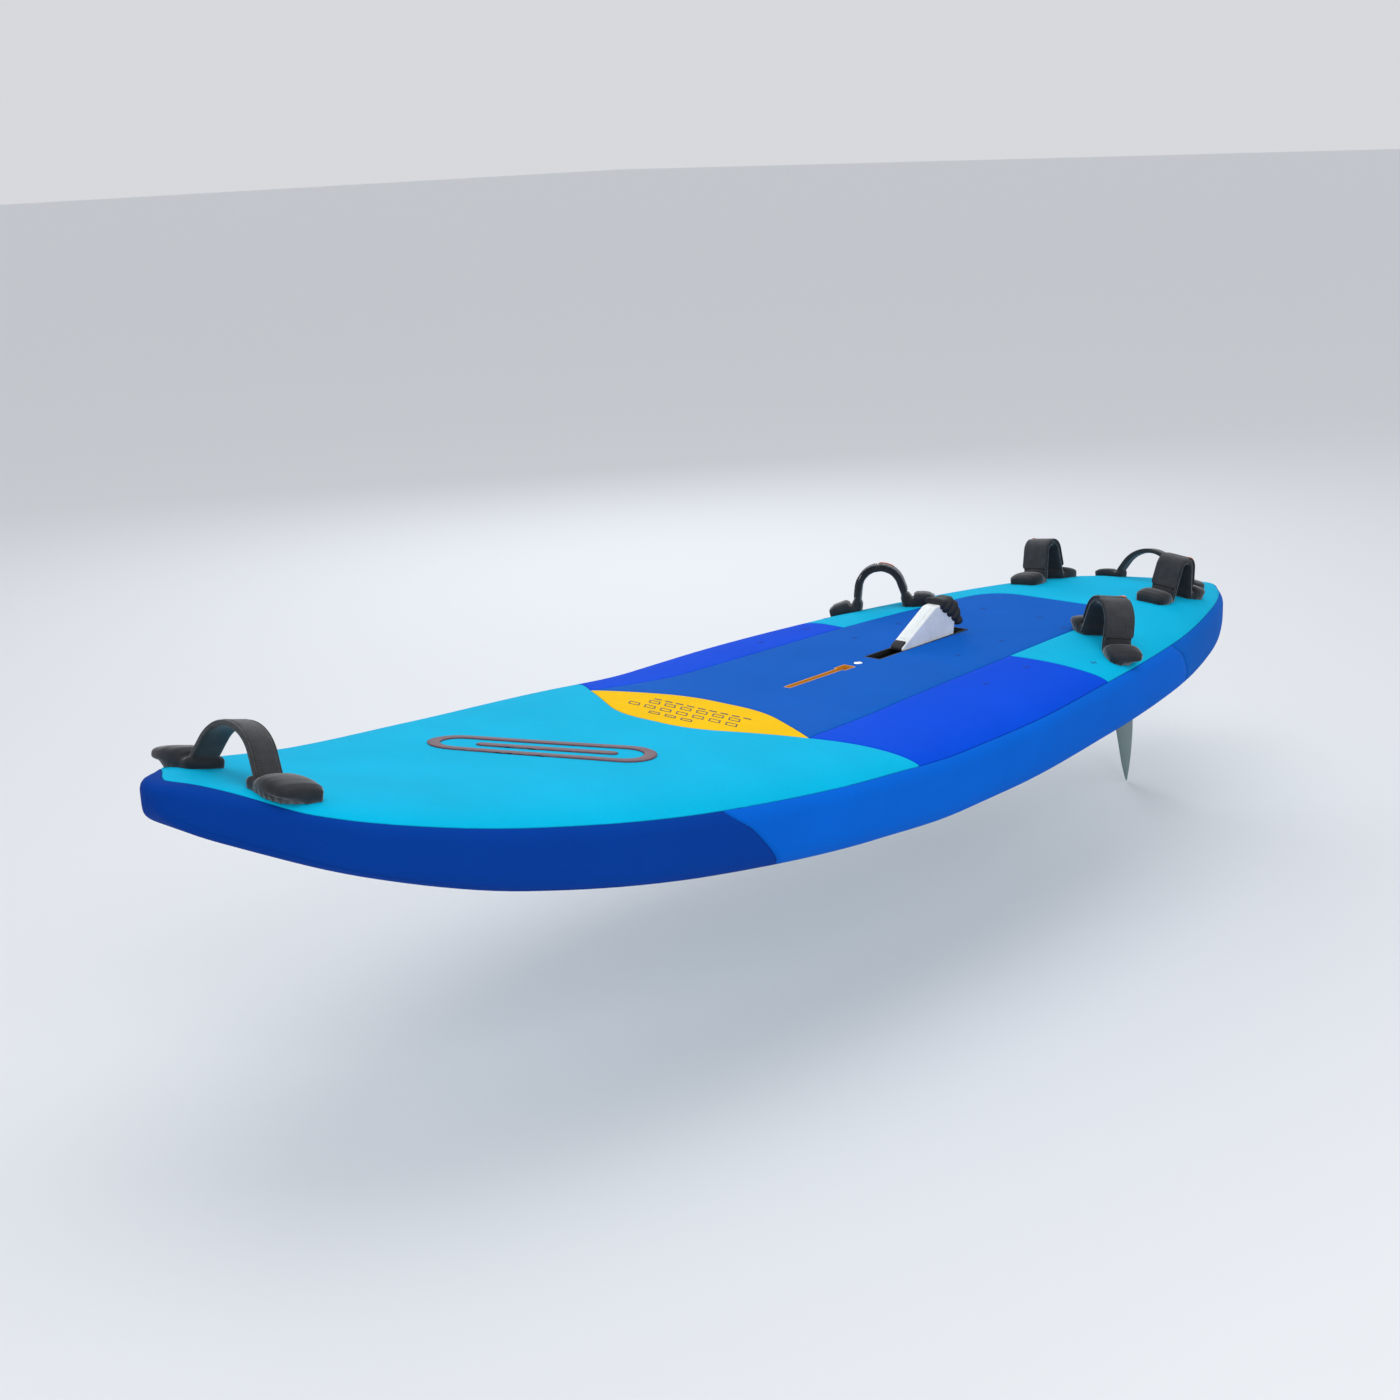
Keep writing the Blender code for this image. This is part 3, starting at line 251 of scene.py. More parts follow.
def spread(first, last, steps):
    """Evenly spaced values from first to last."""
    return [first + (last - first) * i / steps for i in range(steps + 1)]


def rounded_corner(before, corner, after, reach, steps=14):
    a, b, c = Vector(before), Vector(corner), Vector(after)
    start = b + (a - b).normalized() * reach
    end = b + (c - b).normalized() * reach
    return [tuple(start * (1 - t) ** 2 + b * 2 * t * (1 - t) + end * t * t) for t in spread(0, 1, steps)]


def mirrored_outline(port_points):
    return list(port_points) + [(-x, s) for x, s in reversed(port_points) if x > 1e-6]


def inside(points, outline):
    """Which of the points (an array) lie inside the outline."""
    x, y = points[:, 0], points[:, 1]
    result = np.zeros(len(points), dtype=bool)
    for (ax, ay), (bx, by) in zip(outline, outline[1:] + outline[:1]):
        if ay != by:
            crossing = (ay > y) != (by > y)
            result ^= crossing & (x < (bx - ax) * (y - ay) / (by - ay) + ax)
    return result


def bridge(bm, rings):
    """Faces between each closed ring of vertices and the one after it."""
    for ring, following in zip(rings, rings[1:]):
        for j in range(len(ring)):
            k = (j + 1) % len(ring)
            bm.faces.new((ring[j], ring[k], following[k], following[j]))


def close_ends(bm, rings):
    bm.faces.new(rings[0])
    bm.faces.new(rings[-1])


def tube(name, rings, finish):
    """A loft through rings of points; its two ends are closed."""
    bm = bmesh.new()
    made = [[bm.verts.new(p) for p in ring] for ring in rings]
    bridge(bm, made)
    close_ends(bm, made)
    return add_mesh(name, bm, finish)


# ---------------------------------------------------------------- materials
def set_inputs(node, **values):
    """Gives a node's inputs their values; an underscore in a name stands for a space."""
    for key, value in values.items():
        node.inputs[key.replace("_", " ")].default_value = value
    return node


class Finish:
    """A material being made: its nodes, its shader and the object coordinates it is laid out in."""

    def __init__(self, name, color, roughness, metallic=0.0):
        self.material = bpy.data.materials.new(name)
        self.material.use_nodes = True
        self.nodes, self.links = self.material.node_tree.nodes, self.material.node_tree.links
        self.color = color
        self.shader = set_inputs(self.nodes["Principled BSDF"], Base_Color=(*color, 1),
                                 Roughness=roughness, Metallic=metallic)
        self.where = self.nodes.new("ShaderNodeTexCoord").outputs["Object"]

    def placed(self, kind, where=None, **inputs):
        """A node that takes the object's coordinates, or the given ones."""
        made = set_inputs(self.nodes.new("ShaderNode" + kind), **inputs)
        self.links.new(self.where if where is None else where, made.inputs["Vector"])
        return made

    def noise(self, scale, detail=3.0, roughness=0.5, where=None):
        made = self.placed("TexNoise", where, Scale=scale, Detail=detail, Roughness=roughness)
        return made.outputs["Fac"]

    def tint(self, factor, dark, light, low=0.35, high=0.65):
        """Varies the base colour between a darker and a lighter share of it."""
        ramp = self.nodes.new("ShaderNodeValToRGB")
        for stop, place, share in zip(ramp.color_ramp.elements, (low, high), (dark, light)):
            stop.position = place
            stop.color = (*(min(1.0, c * share) for c in self.color), 1)
        self.links.new(factor, ramp.inputs["Fac"])
        self.links.new(ramp.outputs["Color"], self.shader.inputs["Base Color"])

    def bump(self, height, strength, distance, before=None):
        made = set_inputs(self.nodes.new("ShaderNodeBump"), Strength=strength, Distance=distance)
        self.links.new(height, made.inputs["Height"])
        if before:
            self.links.new(before, made.inputs["Normal"])
        self.links.new(made.outputs["Normal"], self.shader.inputs["Normal"])
        return made.outputs["Normal"]

    def vary_roughness(self, factor, low, high):
        span = set_inputs(self.nodes.new("ShaderNodeMapRange"), To_Min=low, To_Max=high)
        self.links.new(factor, span.inputs["Value"])
        self.links.new(span.outputs["Result"], self.shader.inputs["Roughness"])


def eva(name, color):
    """Brushed, finely pebbled EVA foam with a faint cloudiness in its colour."""
    made = Finish(name, color, 0.72)
    set_inputs(made.shader, Specular_IOR_Level=0.05)
    brushed = made.placed("Mapping", Scale=(1.0, 0.35, 1.0))
    clouds = made.noise(7.0, 4.0)
    grain = made.noise(420.0, 3.0, 0.65, brushed.outputs["Vector"])
    pores = made.placed("TexVoronoi", Scale=900.0)
    mixed = set_inputs(made.nodes.new("ShaderNodeMix"), Factor=0.45)
    made.links.new(clouds, mixed.inputs[2])
    made.links.new(grain, mixed.inputs[3])
    made.tint(mixed.outputs[0], 0.93, 1.05)
    first = made.bump(grain, 0.35, 0.0006)
    made.bump(pores.outputs["Distance"], 0.25, 0.0004, first)
    made.vary_roughness(grain, 0.72, 0.92)
    return made.material


def woven(name, color, scale=1100.0):
    """Cloth: two crossed waves make the weave, and lint and wear lighten it in places."""
    made = Finish(name, color, 0.85)
    set_inputs(made.shader, Sheen_Weight=0.35, Sheen_Roughness=0.45)
    top = made.nodes.new("ShaderNodeMath")
    top.operation = "MAXIMUM"
    for i, direction in enumerate("XY"):
        wave = made.placed("TexWave", Scale=scale / 6, Distortion=0.6)
        wave.bands_direction = direction
        made.links.new(wave.outputs["Fac"], top.inputs[i])
    lint = made.noise(60.0, 6.0, 0.7)
    made.tint(lint, 0.7, 1.9, 0.3, 0.75)
    first = made.bump(top.outputs["Value"], 0.5, 0.0005)
    made.bump(lint, 0.3, 0.0008, first)
    return made.material


def neoprene(name, color):
    """Soft laminated neoprene: fine jersey grain over broad soft creases, with painted shade in their
    hollows and painted light on their ridges.
    """
    made = Finish(name, color, 0.9)
    set_inputs(made.shader, Sheen_Weight=0.5, Sheen_Roughness=0.35)
    grain, creases_and_shade = made.noise(1300.0, 2.0), made.noise(45.0, 3.0)
    # the crease noise also tints the colour: painted shade in the hollows, painted light on the ridges
    made.tint(creases_and_shade, 0.8, 1.5)
    first = made.bump(grain, 0.4, 0.0004)
    made.bump(creases_and_shade, 0.35, 0.002, first)
    return made.material


def moulded(name, color, roughness, grain_scale=500.0, strength=0.15, coat=0.0, metallic=0.0):
    """Moulded plastic, rubber or metal with a fine grain, faint scuffs and uneven gloss."""
    made = Finish(name, color, roughness, metallic)
    set_inputs(made.shader, Coat_Weight=coat)
    grain, scuffs = made.noise(grain_scale), made.noise(28.0, 8.0, 0.75)
    made.tint(scuffs, 0.9, 1.08)
    made.bump(grain, strength, 0.0003)
    made.vary_roughness(scuffs, max(0.05, roughness - 0.1), min(1.0, roughness + 0.12))
    return made.material


CYAN = eva("Cyan EVA", (0.001, 0.45, 0.72))
YELLOW = eva("Yellow EVA", (0.90, 0.54, 0.001))
BLUE = eva("Mid blue EVA", (0.001, 0.105, 0.50))
ROYAL = eva("Royal blue EVA", (0.001, 0.070, 0.68))
NAVY = eva("Deep blue EVA", (0.001, 0.045, 0.31))
RAIL_BLUE = eva("Rail blue EVA", (0.001, 0.125, 0.64))
# the centre pad's blue made a little lighter for the tail rail: painted light
TAIL_BLUE_LIT = eva("Tail blue EVA, lit", (0.001, 0.115, 0.53))
MAROON = moulded("Maroon print", (0.10, 0.035, 0.055), 0.55, 900.0, 0.4)
BOTTOM = moulded("Slick bottom", (0.62, 0.72, 0.80), 0.28, 60.0, 0.05, 0.3)
LAMINATE = moulded("Laminate", (0.03, 0.05, 0.07), 0.6)
ORANGE = moulded("Orange nylon", (0.72, 0.31, 0.02), 0.45)
BLACK_PLASTIC = moulded("Black nylon", (0.012, 0.013, 0.015), 0.5)
RUBBER = moulded("Black rubber", (0.010, 0.011, 0.012), 0.62, 700.0, 0.3)
STEEL = moulded("Stainless steel", (0.62, 0.63, 0.64), 0.3, 900.0, 0.1, 0.0, 1.0)
WHITE = moulded("White plastic", (0.80, 0.84, 0.84), 0.38, 300.0, 0.08, 0.15)
BLADE = moulded("Blade composite", (0.045, 0.055, 0.065), 0.42)
FIN = moulded("Fin plastic", (0.115, 0.185, 0.19), 0.33, 160.0, 0.1, 0.2)
WEB = woven("Black webbing", (0.014, 0.015, 0.017))
SHEENED_COVER_CLOTH = woven("Black cover cloth", (0.017, 0.019, 0.023), 1500.0)
# the cover cloth is a little lighter and bluer than the webbing: partly its own cloth, partly painted sheen
SLEEVE = neoprene("Black neoprene", (0.010, 0.012, 0.016))
THREAD = moulded("Grey thread", (0.055, 0.060, 0.070), 0.7, 2500.0, 0.4)
TAB = woven("Orange tab", (0.80, 0.10, 0.01))
INK = moulded("Dark ink", (0.055, 0.045, 0.03), 0.6)
# painted shade: the dark of the recesses over the strap plugs, laid flat on the pad
PLUG_RECESS_SHADE = moulded("Plug recess shade", (0.0, 0.035, 0.22), 0.85)
FLOOR = Finish("Floor", (0.78, 0.80, 0.82), 0.8).material


# ---------------------------------------------------------------- deck pads
def to_deck_line(points):
    """The points up to where their line crosses the edge of the deck pads, and the crossing."""
    kept = []
    for a, b in zip(points, points[1:]):
        kept.append(a)
        if b[0] > deck_line(b[1]):
            low, high = 0.0, 1.0
            for _ in range(30):
                middle = (low + high) / 2
                x, s = a[0] + (b[0] - a[0]) * middle, a[1] + (b[1] - a[1]) * middle
                low, high = (middle, high) if x < deck_line(s) else (low, middle)
            return kept + [(a[0] + (b[0] - a[0]) * low, a[1] + (b[1] - a[1]) * low)]
    return kept


def edge_line(start, end):
    """The edge of the deck pads from one station to another, dense where it curves."""
    first, last = swept_angle(start), swept_angle(end)
    steps = max(6, int(abs(last - first) / 0.016))
    return [(deck_line(s), s) for s in map(station_at, spread(first, last, steps))]


def pad_outlines():
    front = rounded_corner((0, ACCENT_FRONT[1]), ACCENT_FRONT, ACCENT_TIP, 0.050)
    rear = rounded_corner((0, ACCENT_REAR[1]), ACCENT_REAR, ACCENT_TIP, 0.050)
    aft = rounded_corner(CENTRE_SIDE[-1], CENTRE_CORNER, (0, CENTRE_CORNER[1] + 0.004), 0.075)
    side = smooth_line([ACCENT_TIP] + CENTRE_SIDE)
    break_at = min(range(len(side)), key=lambda i: abs(side[i][1] - CENTRE_SIDE[2][1]))
    side_front = to_deck_line(smooth_line([ACCENT_TIP] + SIDE_FRONT))
    side_rear = to_deck_line(smooth_line([side[break_at]] + SIDE_REAR))
    nose = edge_line(PAD_FRONT + 0.0001, side_front[-1][1])
    nose += list(reversed(side_front))[1:] + list(reversed(front))
    accent = front + [ACCENT_TIP] + list(reversed(rear))
    centre = rear + side + aft
    flank = side_front + edge_line(side_front[-1][1], side_rear[-1][1])[1:-1]
    flank += list(reversed(side_rear)) + list(reversed(side[1:break_at]))
    tail = list(reversed(aft)) + list(reversed(side[break_at:-1])) + side_rear[1:]
    tail += edge_line(side_rear[-1][1], LENGTH - PAD_BACK - 0.0001)[1:]
    return {"nose_pad": (mirrored_outline(nose), CYAN), "accent_pad": (mirrored_outline(accent), YELLOW),
            "centre_pad": (mirrored_outline(centre), BLUE), "side_pad_port": (flank, ROYAL),
            "side_pad_starboard": ([(-x, s) for x, s in flank], ROYAL),
            "tail_pad": (mirrored_outline(tail), CYAN)}


def make_pad(name, outline, finish, holes=(), lift=0.0, skirt=SKIRT, spacing=GRID, edge=EDGE):
    """A pad laid on the deck: an even net of triangles inside, rounded edges and side walls."""
    outline = fine(outline, spacing * 0.6)
    borders = [(grown(outline, -SEAM), grown(outline, -SEAM - edge))]
    borders += [(fine(hole, spacing * 0.6), grown(fine(hole, spacing * 0.6), edge)) for hole in holes]
    points, edges, lowered = [], [], []
    for outer, inner in borders:
        for loop, low in ((outer, True), (inner, False)):
            first = len(points)
            points += [Vector(p) for p in loop]
            lowered += [low] * len(loop)
            edges += [(first + i, first + (i + 1) % len(loop)) for i in range(len(loop))]
    xs, ys = [p.x for p in points], [p.y for p in points]
    net = []
    for row, y in enumerate(np.arange(min(ys), max(ys), spacing * 0.866)):
        net += [(x, y) for x in np.arange(min(xs) + spacing / 2 * (row % 2), max(xs), spacing)]
    net = np.array(net)
    keep = inside(net, grown(borders[0][1], -spacing * 0.35))
    for _, inner in borders[1:]:
        keep &= ~inside(net, grown(inner, spacing * 0.35))
    points += [Vector(p) for p in net[keep]]
    lowered += [False] * int(keep.sum())
    flat, _, triangles, origins, _, _ = delaunay_2d_cdt(points, edges, [], 0, 1e-6)
    middles = np.array([sum((flat[i] for i in t), Vector((0, 0))) / 3 for t in triangles])
    keep = inside(middles, borders[0][0])
    for outer, _ in borders[1:]:
        keep &= ~inside(middles, outer)
    bm = bmesh.new()
    verts = []
    for spot, origin in zip(flat, origins):
        drop = EDGE_DROP if any(lowered[o] for o in origin) else 0.0
        verts.append(bm.verts.new(on_deck(spot.x, spot.y) + deck_normal(spot.x, spot.y) * (lift - drop)))
    for triangle, kept in zip(triangles, keep):
        if kept:
            bm.faces.new([verts[i] for i in triangle])
    bmesh.ops.delete(bm, geom=[v for v in bm.verts if not v.link_faces], context="VERTS")
    add_walls(bm, skirt)
    return add_mesh(name, bm, finish)


def add_walls(bm, depth):
    """Side walls: the open edges go down into the board, along the surface's normals."""
    bmesh.ops.recalc_face_normals(bm, faces=bm.faces)
    bm.normal_update()
    rim = [e for e in bm.edges if e.is_boundary]
    inward = {v.co.copy().freeze(): v.normal.copy() for e in rim for v in e.verts}
    grown_geometry = bmesh.ops.extrude_edge_only(bm, edges=rim)["geom"]
    for v in grown_geometry:
        if isinstance(v, bmesh.types.BMVert):
            v.co -= inward[v.co.copy().freeze()] * depth


# ---------------------------------------------------------------- rails and bottom
def rim_share(station):
    """How far down the side the rail skin reaches, as a share of the fall to the bottom."""
    fall = max(rise_and_fall(station)[1], 1e-6)
    return 1 - min(0.35, SKIN_RIM / fall)


TOP_STEPS = [0, 0.045, 0.16, 0.3, 0.45, 0.6, 0.75, 0.88, 1]
SIDE_STEPS = [0.08, 0.17, 0.27, 0.38, 0.5, 0.62, 0.73, 0.83, 0.9, 0.95, 0.985, 1]


def rail_point(station, column):
    """A point of the rail: columns run from the deck line over the widest point down to the rim."""
    width = half_width(station)
    rise, fall = rise_and_fall(station)
    if column < len(TOP_STEPS):
        start = deck_line(station) / max(width, 1e-6)
        share = 1 - (1 - start) * (1 - TOP_STEPS[column]) ** DECK_POWER
        z = apex_height(station) + rise * crown(share, DECK_FLAT, DECK_POWER)
    else:
        depth = SIDE_STEPS[column - len(TOP_STEPS)] * rim_share(station)
        beyond = (1 - depth ** BOTTOM_POWER) ** (1 / BOTTOM_POWER)
        share = BOTTOM_FLAT + (1 - BOTTOM_FLAT) * beyond
        z = apex_height(station) - fall * depth
    return Vector((share * width, station + Y_SHIFT, z))


def seam_station(seam, column, start):
    """Where a rail seam, drawn in side view, crosses one column of the rail."""
    across = monotone_curve([(z, s) for s, z in reversed(seam)])
    station = start
    for _ in range(40):
        station = 0.6 * station + 0.4 * across(rail_point(station, column).z)
    return station


def rail_grid(bm, starts, stops, rows, way):
    """One side's rail between two seams, given as one station for each column."""
    ends = [(swept_angle(a), swept_angle(b)) for a, b in zip(starts, stops)]
    lines = []
    for share in spread(0, 1, rows):
        line = []
        for column, (first, last) in enumerate(ends):
            spot = rail_point(station_at(first + (last - first) * share), column)
            line.append(bm.verts.new((spot.x * way, spot.y, spot.z)))
        lines.append(line)
    for line, following in zip(lines, lines[1:]):
        for a, b, c, d in zip(line, line[1:], following[1:], following):
            bm.faces.new((a, b, c, d) if way > 0 else (d, c, b, a))


def make_rails():
    columns = range(len(TOP_STEPS) + len(SIDE_STEPS))
    nose = [seam_station(NOSE_SEAM, c, 0.68) for c in columns]
    tail = [seam_station(TAIL_SEAM, c, 1.90) for c in columns]
    gap = 0.0005
    before_nose, after_nose = [s - gap for s in nose], [s + gap for s in nose]
    before_tail, after_tail = [s - gap for s in tail], [s + gap for s in tail]
    tip, end = [0.0] * len(nose), [LENGTH] * len(nose)
    plans = [("nose_rail", NAVY, "navy_skin", tip, before_nose, 110, (1, -1)),
             ("mid_rail_port", RAIL_BLUE, "rail_skin", after_nose, before_tail, 90, (1,)),
             ("mid_rail_starboard", RAIL_BLUE, "rail_skin", after_nose, before_tail, 90, (-1,)),
             ("tail_rail", TAIL_BLUE_LIT, "blue_skin", after_tail, end, 90, (1, -1))]
    for node, finish, slot, starts, stops, rows, ways in plans:
        bm = bmesh.new()
        for way in ways:
            rail_grid(bm, starts, stops, rows, way)
        bmesh.ops.remove_doubles(bm, verts=bm.verts, dist=0.00002)
        bm.normal_update()
        rim = {v for e in bm.edges if e.is_boundary for v in e.verts}
        drops = [(v, v.normal.copy()) for v in rim]
        for v, normal in drops:
            v.co -= normal * EDGE_DROP
        add_walls(bm, SKIRT)
        dress(add_mesh("skin_" + node, bm, finish), "board", slot, node)


def make_bottom():
    """The slick bottom from rim to rim, with the daggerboard and fin slots left open."""
    slot_half = 0.0203
    slots = [(1.5297, 2.0933), (2.0967, 2.2653)]       # the daggerboard's and the fin's, as stations
    shares = [1, 0.995, 0.985, 0.965, 0.935, 0.89, 0.83, 0.75, 0.65, 0.52, 0.38, 0.24]
    stations = sorted([station_at(a) for a in spread(0, math.pi, 120)] + [s for pair in slots for s in pair])
    bm = bmesh.new()
    lines = []
    for station in stations:
        width = half_width(station)
        fall = rise_and_fall(station)[1]
        beyond = (1 - rim_share(station) ** BOTTOM_POWER) ** (1 / BOTTOM_POWER)
        rim = (BOTTOM_FLAT + (1 - BOTTOM_FLAT) * beyond) * width
        xs = [rim * share for share in shares]
        xs += [min(slot_half, xs[-1] * 0.6), 0]
        xs += [-x for x in reversed(xs[:-1])]
        line = []
        for x in xs:
            depth = crown(abs(x) / max(width, 1e-6), BOTTOM_FLAT, BOTTOM_POWER)
            line.append(bm.verts.new((x, station + Y_SHIFT, apex_height(station) - fall * depth)))
        lines.append(line)
    middle = len(shares)
    for i, (line, following) in enumerate(zip(lines, lines[1:])):
        here = (stations[i] + stations[i + 1]) / 2
        open_here = any(a < here < b for a, b in slots)
        for j in range(len(line) - 1):
            if not (open_here and middle <= j <= middle + 1):
                bm.faces.new((line[j], line[j + 1], following[j + 1], following[j]))
    bmesh.ops.remove_doubles(bm, verts=bm.verts, dist=0.00002)
    add_walls(bm, 0.002)
    piece = add_mesh("slick_bottom", bm, BOTTOM)
    piece.data.materials.append(NAVY)
    piece.data.materials.append(RAIL_BLUE)
    for face in piece.data.polygons:
        wrap = 1 if face.center.y < NOSE_SEAM[-1][0] + Y_SHIFT else 2
        face.material_index = wrap if abs(face.normal.z) < 0.93 or face.center.y < -1.16 else 0
    dress(piece, "board", "bottom_laminate", "hull_shell")


def rectangle(half_x, start, end):
    return [(half_x, start), (half_x, end), (-half_x, end), (-half_x, start)]


def stadium(half_x, start, end, steps=7):
    """A slot outline with round ends."""
    points = []
    for middle, first in ((end - half_x, 0), (start + half_x, 180)):
        for i in range(steps + 1):
            turn = math.radians(first + 180 * i / steps)
            points.append((half_x * math.cos(turn), middle + half_x * math.sin(turn)))
    return points


def frame_ring(name, outline, inner_by, low, high, finish):
    """A narrow lip that follows an opening in the deck: its outline, and the same drawn in."""
    outer, inner = grown(outline, -0.0002), grown(outline, -inner_by)
    soft_outer, soft_inner = grown(outline, -0.0006), grown(outline, 0.0004 - inner_by)
    loops = [(outer, low), (outer, high - 0.0004), (soft_outer, high), (soft_inner, high),
             (inner, high - 0.0004), (inner, low)]
    bm = bmesh.new()
    made = [[bm.verts.new((x, s + Y_SHIFT, z)) for x, s in loop] for loop, z in loops]
    bridge(bm, made + made[:1])
    return add_mesh(name, bm, finish, smooth=False)


# ---------------------------------------------------------------- deck: pads, marks, openings
TRACK_SLOT = [(0.0070, 1.1670), (0.0070, 1.3025), (0.0128, 1.3025), (0.0128, 1.3315)]
DAGGER_SLOT = rectangle(0.0172, 1.3898, 1.6452)
VENT_STATION = 1.353
PAD_SLOTS = {"nose_pad": "cyan_skin", "accent_pad": "yellow_skin", "centre_pad": "blue_skin",
             "side_pad_port": "royal_skin", "side_pad_starboard": "royal_skin", "tail_pad": "cyan_skin"}


def make_deck():
    track = mirrored_outline(TRACK_SLOT)
    vent = stadium(0.0085, VENT_STATION - 0.0085, VENT_STATION + 0.0085)
    for node, (outline, finish) in pad_outlines().items():
        holes = (track, vent, DAGGER_SLOT) if node == "centre_pad" else ()
        dress(make_pad("skin_" + node, outline, finish, holes), "board", PAD_SLOTS[node], node)
    dress(frame_ring("track_lip", track, 0.0018, 0.1400, 0.1466, ORANGE), "board", "track_plastic")
    dress(frame_ring("slot_lip", DAGGER_SLOT, 0.0024, 0.1390, 0.1467, RUBBER), "board", "black_rubber")


def turned_outline(outline, centre, degrees):
    turn = math.radians(degrees)
    return [(centre[0] + u * math.cos(turn) - v * math.sin(turn),
             centre[1] + u * math.sin(turn) + v * math.cos(turn)) for u, v in outline]


def make_emblem():
    """A raised generic mark: a long slanted loop round a single bar."""
    centre, lean = (0.02, 0.612), 33 - 90
    loop = turned_outline(stadium(0.047, -0.165, 0.165, 12), centre, lean)
    hole = turned_outline(stadium(0.030, -0.146, 0.146, 12), centre, lean)
    bar = turned_outline(stadium(0.0090, -0.095, 0.110, 6), centre, lean)
    raised = (0.0020, 0.0022, 0.009, 0.0014)           # lift, skirt, spacing and edge
    dress(make_pad("mark_loop", loop, MAROON, (hole,), *raised), "board", "emblem_paint", "emblem")
    dress(make_pad("mark_bar", bar, MAROON, (), *raised), "board", "emblem_paint")


def make_prints():
    """Plain dashes on the accent pad, outlined where they are tall: four rows, as a print would lie."""
    rows = [(0.889, 0.050, 0.012, 3), (0.913, 0.118, 0.015, 7), (0.940, 0.100, 0.015, 6),
            (0.963, 0.105, 0.005, 9)]
    for row, (station, half, depth, count) in enumerate(rows):
        pitch = 2 * half / count
        reach, lean = pitch * 0.36, depth * 0.35
        for i in range(count):
            x = -half + pitch * (i + 0.5)
            dash = [(x - reach + lean, station), (x + reach + lean, station),
                    (x + reach - lean, station + depth), (x - reach - lean, station + depth)]
            holes = (grown(dash, -0.0026),) if depth > 0.01 else ()
            piece = make_pad("print_%d_%d" % (row, i), dash, INK, holes, 0.0004, 0.0004, 0.012, 0.0003)
            dress(piece, "board", "fitting_plastic")


PLUG_SPOTS = [(0.240, 1.379), (0.236, 1.502), (0.110, 1.483), (0.112, 1.612), (0.062, 1.805), (0.144, 1.758),
              (0.289, 1.623)]


def make_plug_marks():
    """Small dark marks where further strap plugs lie under the skin: painted shade of the recesses over
    them.
    """
    bars = [(-0.0036, 0, 0.0009, 0.0065), (0.0036, 0.001, 0.0009, 0.0055), (0, 0, 0.0036, 0.0008)]
    for number, (x, s) in enumerate(PLUG_SPOTS):
        for way, side in ((1, "port"), (-1, "starboard")):
            for part, (u, v, half_u, half_v) in enumerate(bars):
                bar = [(u - half_u, v - half_v), (u + half_u, v - half_v), (u + half_u, v + half_v),
                       (u - half_u, v + half_v)]
                piece = make_pad("plug_mark_%d_%s_%d" % (number, side, part),
                                 turned_outline(bar, (x * way, s), 60 * way), PLUG_RECESS_SHADE, (), 0.0003, 0.0003,
                                 0.01, 0.0001)
                dress(piece, "board", "royal_skin")


# ---------------------------------------------------------------- straps and handles
class Arch:
    """The line of a strap or handle, as in the model; places on it are given by length from its end."""

    def __init__(self, outer, inner, width, rise, bend, steep_degrees, foot):
        steep = math.radians(steep_degrees)
        a, b = on_deck(*outer), on_deck(*inner)
        reach = (b - a).length - foot
        leg = 0.0
        for _ in range(60):
            radius = (reach - 2 * bend * math.sin(steep) - 2 * leg * math.cos(steep)) / (2 * math.sin(steep))
            height = (bend + radius) * (1 - math.cos(steep)) + leg * math.sin(steep)
            leg += (rise - height) * 0.7
        self.foot = foot
        self.leg_start = foot + bend * steep
        self.crown = self.leg_start + leg + radius * steep
        self.trace(steep, bend, leg, radius, foot)
        self.width = width
        self.along = (b - a).normalized()
        flat = Vector((-self.along.y, self.along.x, 0)).normalized()
        centre = (a + b) / 2
        ahead, behind = centre + flat * width / 2, centre - flat * width / 2
        tilt = deck_height(ahead.x, ahead.y - Y_SHIFT) - deck_height(behind.x, behind.y - Y_SHIFT)
        self.sideways = Vector((flat.x * width, flat.y * width, tilt)).normalized()
        self.up = self.along.cross(self.sideways).normalized()
        self.sideways = self.up.cross(self.along).normalized()
        self.origin = centre
        end = self.path[-1][1]
        corners = [(u, side) for u in (-end, -end + foot, end - foot, end)
                   for side in (-0.5, -0.25, 0, 0.25, 0.5)]
        lowest = min(above_deck(self.origin + self.along * u + self.sideways * side * width)
                     for u, side in corners)
        self.origin = centre + Vector((0, 0, 0.0006 - lowest))

    def trace(self, steep, bend, leg, radius, foot):
        turns = [(foot, 0), (bend * steep, steep), (leg, 0), (radius * steep, -steep), (0.001, 0),
                 (radius * steep, -steep), (leg, 0), (bend * steep, steep), (foot, 0)]
        pieces = 12
        heading = u = h = run = 0.0
        points = [(0.0, 0.0, 0.0, 0.0)]
        for length, turning in turns:
            for _ in range(pieces):
                middle = heading + turning / pieces / 2
                u += math.cos(middle) * length / pieces
                h += math.sin(middle) * length / pieces
                heading += turning / pieces
                run += length / pieces
                points.append((run, u, h, heading))
        self.length = run
        self.path = [(t, x - u / 2, y, angle) for t, x, y, angle in points]

    def spot(self, t, offset, side):
        inside_t = min(max(t, 0.0), self.length)
        beyond = t - inside_t
        runs = [p[0] for p in self.path]
        u, h, heading = (float(np.interp(inside_t, runs, [p[i] for p in self.path])) for i in (1, 2, 3))
        u += beyond - math.sin(heading) * offset
        h += math.cos(heading) * offset
        return self.origin + self.along * u + self.up * h + self.sideways * side


SIDE_CREASE = 7.5          # share of the width that creases move in or out, per metre of crease depth


